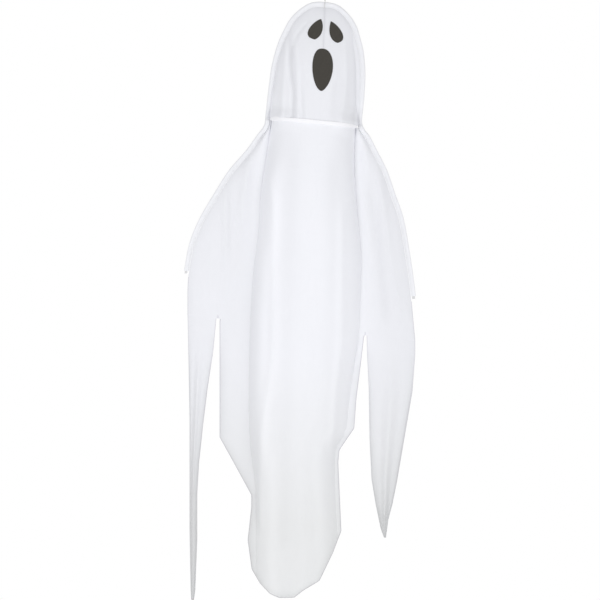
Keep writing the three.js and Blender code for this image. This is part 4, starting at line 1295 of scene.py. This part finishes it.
def bar_tack(name, corner):
    """A dense upright zigzag of thread at the top of an underarm slit, on the front and on the back."""
    drop, x = corner
    parts = []
    for facing in (-1, 1):
        for lean in (-0.5, 0.5):
            t = np.linspace(-1.0, 1.0, 26)
            zig = np.where(np.arange(26) % 2 == 0, -1.0, 1.0) * 1.7
            z = CROWN_Z - drop + TACK_UP + TACK_HALF * t
            line = np.stack([x + zig + lean, 0 * t + facing * 1.15, z], 1)
            parts.append(stitches(line, facing * Y_AXIS, 3.6, 0.34))
    return joined(name, parts)


left_tack = bar_tack("left_slit_bar", LEFT_SLIT_TOP)
right_tack = bar_tack("right_slit_bar", RIGHT_SLIT_TOP)
print("stitches round the mouth", len(mouth_stitches.data.vertices) // (STITCH_SIDES * STITCH_RINGS))

# %% [markdown]
# ## Helpers for materials
#
# A material is a graph of nodes. These helpers add a node with its settings and inputs in one line, and make
# a node group, which is one effect with named inputs and outputs that several materials use with their own
# values. A group here gives out only masks and heights, and the shader stays in the material.

# %% Node helpers
def add(tree, kind, inputs=None, **settings):
    """A node whose inputs are either numbers or other nodes' outputs."""
    made = tree.nodes.new(kind)
    for key, value in settings.items():
        setattr(made, key, value)
    for key, value in (inputs or {}).items():
        if isinstance(value, bpy.types.NodeSocket):
            tree.links.new(value, made.inputs[key])
        else:
            made.inputs[key].default_value = value
    return made


def calc(tree, operation, *values):
    """One step of arithmetic on numbers or outputs."""
    return add(tree, "ShaderNodeMath", dict(enumerate(values)), operation=operation).outputs[0]


def new_group(name, inputs, outputs):
    """An empty node group with its sockets, its input node and its output node."""
    tree = bpy.data.node_groups.new(name, "ShaderNodeTree")
    for label, kind, value in inputs:
        socket = tree.interface.new_socket(label, in_out="INPUT", socket_type=kind)
        if value is not None:
            socket.default_value = value
    for label, kind in outputs:
        tree.interface.new_socket(label, in_out="OUTPUT", socket_type=kind)
    return tree, tree.nodes.new("NodeGroupInput").outputs, tree.nodes.new("NodeGroupOutput").inputs


print("node groups before the first effect", len(bpy.data.node_groups))

# %% [markdown]
# ## Weave
#
# The cloth is a plain weave of fine polyester thread: at each crossing either the upright or the level
# thread lies on top, turn by turn. A thread's roundness is the absolute sine across it, and the sign of the
# product of the two sines says which one is on top. Some threads are a little thicker, so two long streaks
# of noise, one along each direction, vary the tone.

# %% Weave group
weave, given, result = new_group(
    "plain_weave",
    [("Place", "NodeSocketVector", None), ("Pitch", "NodeSocketFloat", 0.0008)],
    [("Height", "NodeSocketFloat"), ("Tone", "NodeSocketFloat")])
parts = add(weave, "ShaderNodeSeparateXYZ", {0: given["Place"]}).outputs
threads = [calc(weave, "DIVIDE", parts[k], given["Pitch"]) for k in (0, 1)]
waves = [calc(weave, "SINE", calc(weave, "MULTIPLY", value, np.pi)) for value in threads]
rounds = [calc(weave, "ABSOLUTE", wave) for wave in waves]
sign = calc(weave, "MULTIPLY", waves[0], waves[1])
top = calc(weave, "MULTIPLY_ADD", sign, 1.6, 0.5)
on_top = add(weave, "ShaderNodeClamp", {"Value": top}).outputs[0]
height = calc(weave, "ADD", calc(weave, "MULTIPLY", rounds[0], on_top),
              calc(weave, "MULTIPLY", rounds[1], calc(weave, "SUBTRACT", 1.0, on_top)))
weave.links.new(height, result["Height"])
streaks = []
for stretch in ((1.0, 0.02, 1.0), (0.02, 1.0, 1.0)):
    place = add(weave, "ShaderNodeVectorMath", {0: given["Place"], 1: stretch},
                operation="MULTIPLY").outputs[0]
    streaks.append(add(weave, "ShaderNodeTexNoise",
                       {"Vector": place, "Scale": 420.0, "Detail": 2.0}).outputs[0])
weave.links.new(calc(weave, "MULTIPLY", calc(weave, "ADD", streaks[0], streaks[1]), 0.5), result["Tone"])
print("weave group", len(weave.nodes), "nodes")

# %% [markdown]
# ## Creases and handling marks
#
# Thin cloth keeps soft creases from being packed. A crease is where noise crosses its middle value, so the
# distance from that value makes a network of lines, and a second, longer noise makes the cloth's slow
# unevenness. Places are the object's own, stretched downwards because the cloth hangs.

# %% Crease group
creases, given, result = new_group(
    "packing_creases",
    [("Place", "NodeSocketVector", None), ("Scale", "NodeSocketFloat", 9.0),
     ("Stretch", "NodeSocketFloat", 0.45)],
    [("Height", "NodeSocketFloat"), ("Tone", "NodeSocketFloat")])
parts = add(creases, "ShaderNodeSeparateXYZ", {0: given["Place"]}).outputs
tall = calc(creases, "MULTIPLY", parts[2], given["Stretch"])
place = add(creases, "ShaderNodeCombineXYZ", {0: parts[0], 1: parts[1], 2: tall}).outputs[0]
coarse = add(creases, "ShaderNodeTexNoise", {"Vector": place, "Scale": given["Scale"], "Detail": 3.0,
                                             "Roughness": 0.45, "Distortion": 0.4}).outputs[0]
ridge = calc(creases, "ABSOLUTE", calc(creases, "SUBTRACT", coarse, 0.5))
line = calc(creases, "SUBTRACT", 1.0, calc(creases, "MINIMUM", calc(creases, "MULTIPLY", ridge, 9.0), 1.0))
slow_scale = calc(creases, "MULTIPLY", given["Scale"], 0.45)
slow = add(creases, "ShaderNodeTexNoise", {"Vector": place, "Scale": slow_scale, "Detail": 2.0}).outputs[0]
creases.links.new(calc(creases, "MULTIPLY_ADD", line, 0.25, slow), result["Height"])
creases.links.new(slow, result["Tone"])
print("crease group", len(creases.nodes), "nodes")

# %% [markdown]
# ## Cloth materials
#
# All the white pieces share one recipe with their own values: a faintly cool white that grows neutral and a
# little darker towards the hem, the weave and creases as bump, and a weak sheen from the fibres. The tone
# that the panels' grids carry is painted shade, with painted highlight below 0, and it multiplies the colour:
# tone 0 leaves it as it is and tone 1 brings it down to four fifths. The other pieces have no such attribute,
# which counts as 0.

# %% Cloth materials
WEAVE_PITCH = 0.0008
FULLEST_SHADE = 0.8


def srgb(red, green, blue):
    """A colour of three numbers up to 255 as the linear values that shaders use."""
    value = np.array([red, green, blue]) / 255.0
    linear = np.where(value <= 0.04045, value / 12.92, ((value + 0.055) / 1.055) ** 2.4)
    return (*[float(v) for v in linear], 1.0)


def mixed(tree, factor, first, second, blend="MIX"):
    """A colour mixed from two, which are plain colours or outputs."""
    node = add(tree, "ShaderNodeMix", {0: factor}, data_type="RGBA", blend_type=blend)
    for socket, value in ((node.inputs[6], first), (node.inputs[7], second)):
        if isinstance(value, bpy.types.NodeSocket):
            tree.links.new(value, socket)
        else:
            socket.default_value = value
    return node.outputs[2]


def new_material(name, roughness, sheen=0.0):
    """A material with its Principled shader, whose plain values are set on the shader itself."""
    material = bpy.data.materials.new(name)
    material.use_nodes = True
    shader = material.node_tree.nodes["Principled BSDF"]
    shader.inputs["Roughness"].default_value = roughness
    shader.inputs["Sheen Weight"].default_value = sheen
    shader.inputs["Sheen Roughness"].default_value = 0.6
    shader.inputs["Specular IOR Level"].default_value = 0.25
    return material, material.node_tree, shader


def grouped(tree, group, **inputs):
    """A node that uses a group with these inputs, which are numbers or outputs."""
    node = add(tree, "ShaderNodeGroup", None, node_tree=group)
    for key, value in inputs.items():
        if isinstance(value, bpy.types.NodeSocket):
            tree.links.new(value, node.inputs[key])
        else:
            node.inputs[key].default_value = value
    return node.outputs


print("sRGB 238 is", round(float(srgb(238, 238, 238)[0]), 3), "as light")

# %% [markdown]
# ## One white for each kind of cloth
#
# The panels, channels, band, hems and seams lie in different numbers of layers, so each has its own white,
# and the hems' darker white is also painted shade along the outline. An upper and a lower colour are mixed by
# the height on the ghost.

# %% White cloth
def cloth_material(name, upper, lower, crease=0.0016, weave_depth=0.0002):
    """White cloth with an upper and a lower colour, and its creases' and weave's depth in metres."""
    material, tree, shader = new_material(name, 0.92, 0.08)
    coordinates = add(tree, "ShaderNodeTexCoord").outputs
    place = add(tree, "ShaderNodeUVMap", uv_map="cloth").outputs[0]
    threads = grouped(tree, weave, Place=place, Pitch=WEAVE_PITCH)
    marks = grouped(tree, creases, Place=coordinates["Object"])
    height = add(tree, "ShaderNodeSeparateXYZ", {0: coordinates["Object"]}).outputs[2]
    lowness = add(tree, "ShaderNodeMapRange",
                  {"Value": height, "From Min": -1.35, "From Max": -1.95}).outputs[0]
    base = mixed(tree, lowness, upper, lower)
    uneven = calc(tree, "MULTIPLY_ADD", marks["Tone"], 0.05, 0.975)
    fine = calc(tree, "MULTIPLY_ADD", threads["Tone"], 0.04, 0.98)
    # The tone attribute is painted shade, and below 0 painted highlight, that darkens or lightens the colour.
    tone = add(tree, "ShaderNodeAttribute", attribute_name="tone").outputs["Fac"]
    fade = calc(tree, "MULTIPLY_ADD", tone, FULLEST_SHADE - 1.0, 1.0)
    shade = calc(tree, "MULTIPLY", calc(tree, "MULTIPLY", uneven, fine), fade)
    grey = add(tree, "ShaderNodeCombineColor", {0: shade, 1: shade, 2: shade}).outputs[0]
    tree.links.new(mixed(tree, 1.0, base, grey, "MULTIPLY"), shader.inputs["Base Color"])
    folded = add(tree, "ShaderNodeBump",
                 {"Strength": 1.0, "Distance": crease, "Height": marks["Height"]}).outputs[0]
    woven = add(tree, "ShaderNodeBump",
                {"Strength": 0.5, "Distance": weave_depth, "Height": threads["Height"],
                 "Normal": folded}).outputs[0]
    tree.links.new(woven, shader.inputs["Normal"])
    return material


COOL_WHITE = srgb(238, 239, 244)
PLAIN_WHITE = srgb(226, 227, 228)
cloth_look = cloth_material("white_cloth", COOL_WHITE, PLAIN_WHITE)
channel_look = cloth_material("channel_cloth", srgb(235, 236, 240), srgb(232, 232, 235), crease=0.002)
band_look = cloth_material("neck_band_cloth", srgb(248, 248, 252), srgb(248, 248, 252), crease=0.001)
# The hems' darker white is partly the denser rolled edge and partly painted shade along the outline.
shaded_hem_look = cloth_material("hem_cloth_painted_shade", srgb(205, 205, 212), srgb(196, 196, 199), weave_depth=0.0001)
seam_look = cloth_material("seam_cloth", srgb(222, 222, 229), srgb(222, 222, 226), weave_depth=0.0001)
print("cloth materials share", [group.name for group in bpy.data.node_groups])

# %% [markdown]
# ## Thread, cord and felt
#
# Thread and cord are bundles of fibres, so noise stretched along their length gives both the tone and the
# bump. Felt has no direction: its fibres lie every way, which two sizes of noise show, and a few pale fibres
# stand out of the dark ones.

# %% Fibres
fibres, given, result = new_group(
    "fibre_bundle",
    [("Place", "NodeSocketVector", None), ("Along", "NodeSocketFloat", 0.15),
     ("Scale", "NodeSocketFloat", 2500.0)],
    [("Height", "NodeSocketFloat")])
parts = add(fibres, "ShaderNodeSeparateXYZ", {0: given["Place"]}).outputs
drawn = calc(fibres, "MULTIPLY", parts[1], given["Along"])
place = add(fibres, "ShaderNodeCombineXYZ", {0: parts[0], 1: drawn, 2: parts[2]}).outputs[0]
noise = add(fibres, "ShaderNodeTexNoise", {"Vector": place, "Scale": given["Scale"], "Detail": 4.0,
                                           "Roughness": 0.6}).outputs[0]
fibres.links.new(noise, result["Height"])


def fibre_material(name, dark, pale, roughness, scale, along, depth, own_place=True, contrast=1.0):
    """Fibres in two tones, bumped; own_place uses the flat places, and the object's places otherwise."""
    material, tree, shader = new_material(name, roughness, 0.15)
    if own_place:
        place = add(tree, "ShaderNodeUVMap", uv_map="cloth").outputs[0]
    else:
        place = add(tree, "ShaderNodeTexCoord").outputs["Object"]
    bundle = grouped(tree, fibres, Place=place, Scale=scale, Along=along)
    sharp = add(tree, "ShaderNodeMapRange", {"Value": bundle["Height"], "From Min": 0.5 - 0.25 / contrast,
                                             "From Max": 0.5 + 0.25 / contrast}).outputs[0]
    tree.links.new(mixed(tree, sharp, dark, pale), shader.inputs["Base Color"])
    bump = add(tree, "ShaderNodeBump",
               {"Strength": 0.8, "Distance": depth, "Height": bundle["Height"]}).outputs[0]
    tree.links.new(bump, shader.inputs["Normal"])
    return material


FIBRE_ROWS = [
    ("twisted_cord", (176, 175, 170), (226, 225, 221), 0.85, 2600.0, 0.12, 0.0002),
    ("white_thread", (214, 214, 218), (244, 244, 246), 0.6, 3000.0, 0.1, 0.0001),
    ("dark_thread", (34, 33, 31), (70, 68, 64), 0.6, 3000.0, 0.1, 0.0001),
    ("dark_felt", (53, 50, 46), (75, 72, 66), 1.0, 900.0, 1.0, 0.0006, False, 1.4),
    ("fibre_rod", (126, 127, 130), (152, 153, 156), 0.45, 500.0, 1.0, 0.0001, False),
    ("moulded_plastic", (206, 206, 208), (222, 222, 223), 0.4, 160.0, 1.0, 0.00006, False)]
cord_look, thread_look, dark_thread_look, felt_look, rod_look, plastic_look = (
    fibre_material(name, srgb(*dark), srgb(*pale), *rest) for name, dark, pale, *rest in FIBRE_ROWS)
print(len(bpy.data.materials), "materials")

# %% [markdown]
# ## Light and background
#
# The ghost is photographed on plain white. Two large soft lamps stand about half way round to the left and to
# the right, so that the sides of the folds are lit almost as much as their fronts, and the left one is the
# stronger. A third lights the back for the views from there. An even grey surround does the rest, so that a
# colour renders about as it is written. The surround is white only to the camera and in reflections.

# %% Lamps, surround and floor
SURROUND = 0.42
FLOOR_Z = -2420.0
FLOOR_HALF = 2300.0
AIM = np.array([-89.0, 0.0, -1100.0])

world = bpy.data.worlds.new("surround")
world.use_nodes = True
tree = world.node_tree
tree.nodes.clear()
path = add(tree, "ShaderNodeLightPath").outputs
mirrored = calc(tree, "MAXIMUM", path["Is Glossy Ray"], path["Is Transmission Ray"])
seen = calc(tree, "MAXIMUM", path["Is Camera Ray"], mirrored)
soft = add(tree, "ShaderNodeBackground", {"Color": (1.0, 1.0, 1.0, 1.0), "Strength": SURROUND}).outputs[0]
white = add(tree, "ShaderNodeBackground", {"Color": (1.0, 1.0, 1.0, 1.0), "Strength": 1.0}).outputs[0]
both = add(tree, "ShaderNodeMixShader", {0: seen, 1: soft, 2: white}).outputs[0]
tree.links.new(both, add(tree, "ShaderNodeOutputWorld").inputs[0])
bpy.context.scene.world = world


def lamp(name, place, size, power):
    """A square area lamp at a place in millimetres, turned so that its light goes to the ghost's middle."""
    data = bpy.data.lights.new(name, "AREA")
    data.size = size
    data.energy = power
    lamp_object = bpy.data.objects.new(name, data)
    lamp_object.location = np.array(place) * MM
    lamp_object.rotation_euler = Vector(np.array(place) - AIM).to_track_quat("Z", "Y").to_euler()
    lamp_object.visible_camera = False
    bpy.context.scene.collection.objects.link(lamp_object)


lamp("key_lamp", (-3900.0, -4200.0, -900.0), 2.4, 144.0)
lamp("fill_lamp", (4000.0, -3900.0, -1200.0), 2.6, 135.0)
lamp("back_lamp", (1500.0, 5200.0, -900.0), 2.6, 190.0)

corners = np.array([[-1, -1], [1, -1], [1, 1], [-1, 1]]) * FLOOR_HALF
floor_points = np.stack([corners[:, 0] + VIEW_X, corners[:, 1], np.full(4, FLOOR_Z)], 1)
floor = make_piece("floor", floor_points, [np.array([[0, 1, 2, 3]])], [corners * MM])
floor_look, tree, shader = new_material("pale_floor", 0.9)
place = add(tree, "ShaderNodeTexCoord").outputs["Object"]
grain = grouped(tree, fibres, Place=place, Scale=6.0, Along=1.0)["Height"]
tree.links.new(mixed(tree, grain, srgb(236, 236, 237), srgb(242, 242, 242)), shader.inputs["Base Color"])
floor.data.materials.append(floor_look)

# %% [markdown]
# ## What each piece belongs to
#
# Every piece in the table below moves with one body of the frame. The loop, its knot and the cord stay still,
# the knot at the crown turns, the eye swings, and the other pieces in the table tilt with the ghost's frame.
# The sleeves and their hems are given no body here.

# %% Bodies, slots and materials
GROUPS = [
    ("cord", "cord", cord_look,
     [(hanging_cord, "hang_cord"), (cord_loop, "hang_loop"), (loop_knot_wound, "loop_knot")]),
    ("crown_knot", "cord", cord_look, [(crown_knot_wound, "crown_knot")]),
    ("crown_tie", "cord", cord_look, [(cord_eye, "crown_tie")]),
    ("ghost", "cloth", cloth_look,
     [(hood_front_left, "head_front_left"), (hood_front_right, "head_front_right"), (hood_back, "head_back"),
      (gown_front, "gown_front"), (gown_back, "gown_back")]),
    ("ghost", "cloth", shaded_hem_look,
     [(gown_hems[-1],), (gown_hems[1],), (wing_hems["left"],), (wing_hems["right"],)]),
    ("ghost", "cloth", seam_look, [(face_seam,)]),
    ("ghost", "casing", channel_look,
     [(head_channel, "head_casing"), (left_channel, "left_shoulder_casing"),
      (right_channel, "right_shoulder_casing")]),
    ("ghost", "casing", band_look,
     [(neck_front, "neck_casing_front"), (neck_back_left, "neck_casing_back_left"),
      (neck_back_right, "neck_casing_back_right")]),
    ("ghost", "casing", thread_look,
     [(head_stitches,), (left_stitches,), (right_stitches,), (neck_front_stitches,), (neck_left_stitches,),
      (neck_right_stitches,)]),
    ("ghost", "felt", felt_look, [(left_eye, "left_eye"), (right_eye, "right_eye"), (mouth, "mouth")]),
    ("ghost", "felt", dark_thread_look, [(left_eye_stitches,), (right_eye_stitches,), (mouth_stitches,)]),
    ("ghost", "casing", seam_look, [(left_tack, "left_slit_tack"), (right_tack, "right_slit_tack")]),
]

for body, slot, look, members in GROUPS:
    for piece, *nodes in members:
        piece.data.materials.append(look)
        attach(piece, body)
        if nodes:
            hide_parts(*nodes)

sleeve_rows = [(sleeves[key], key[0], cloth_look, [f"{key[0]}_sleeve_{'front' if key[1] < 0 else 'back'}"])
               for key in sleeves] + [(sleeve_hems[side], side, shaded_hem_look, []) for side in sleeve_hems]
for piece, side, look, nodes in sleeve_rows:
    piece.data.materials.append(look)
    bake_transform(piece)
    if nodes:
        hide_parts(*nodes)

looks_by_slot = {"rod": rod_look, "plastic": plastic_look}
for subpart in frame["record"]["subparts"]:
    look = looks_by_slot.get(subpart["material_slot"])
    if look:
        for held in frame["nodes"][subpart["node"]].material_slots:
            held.link = "OBJECT"
            held.material = look

# %% [markdown]

# %% [markdown]
# ## Finish
#
# The scene's view settings stay plain.

# %% Finish
bpy.context.scene.view_settings.view_transform = "Standard"
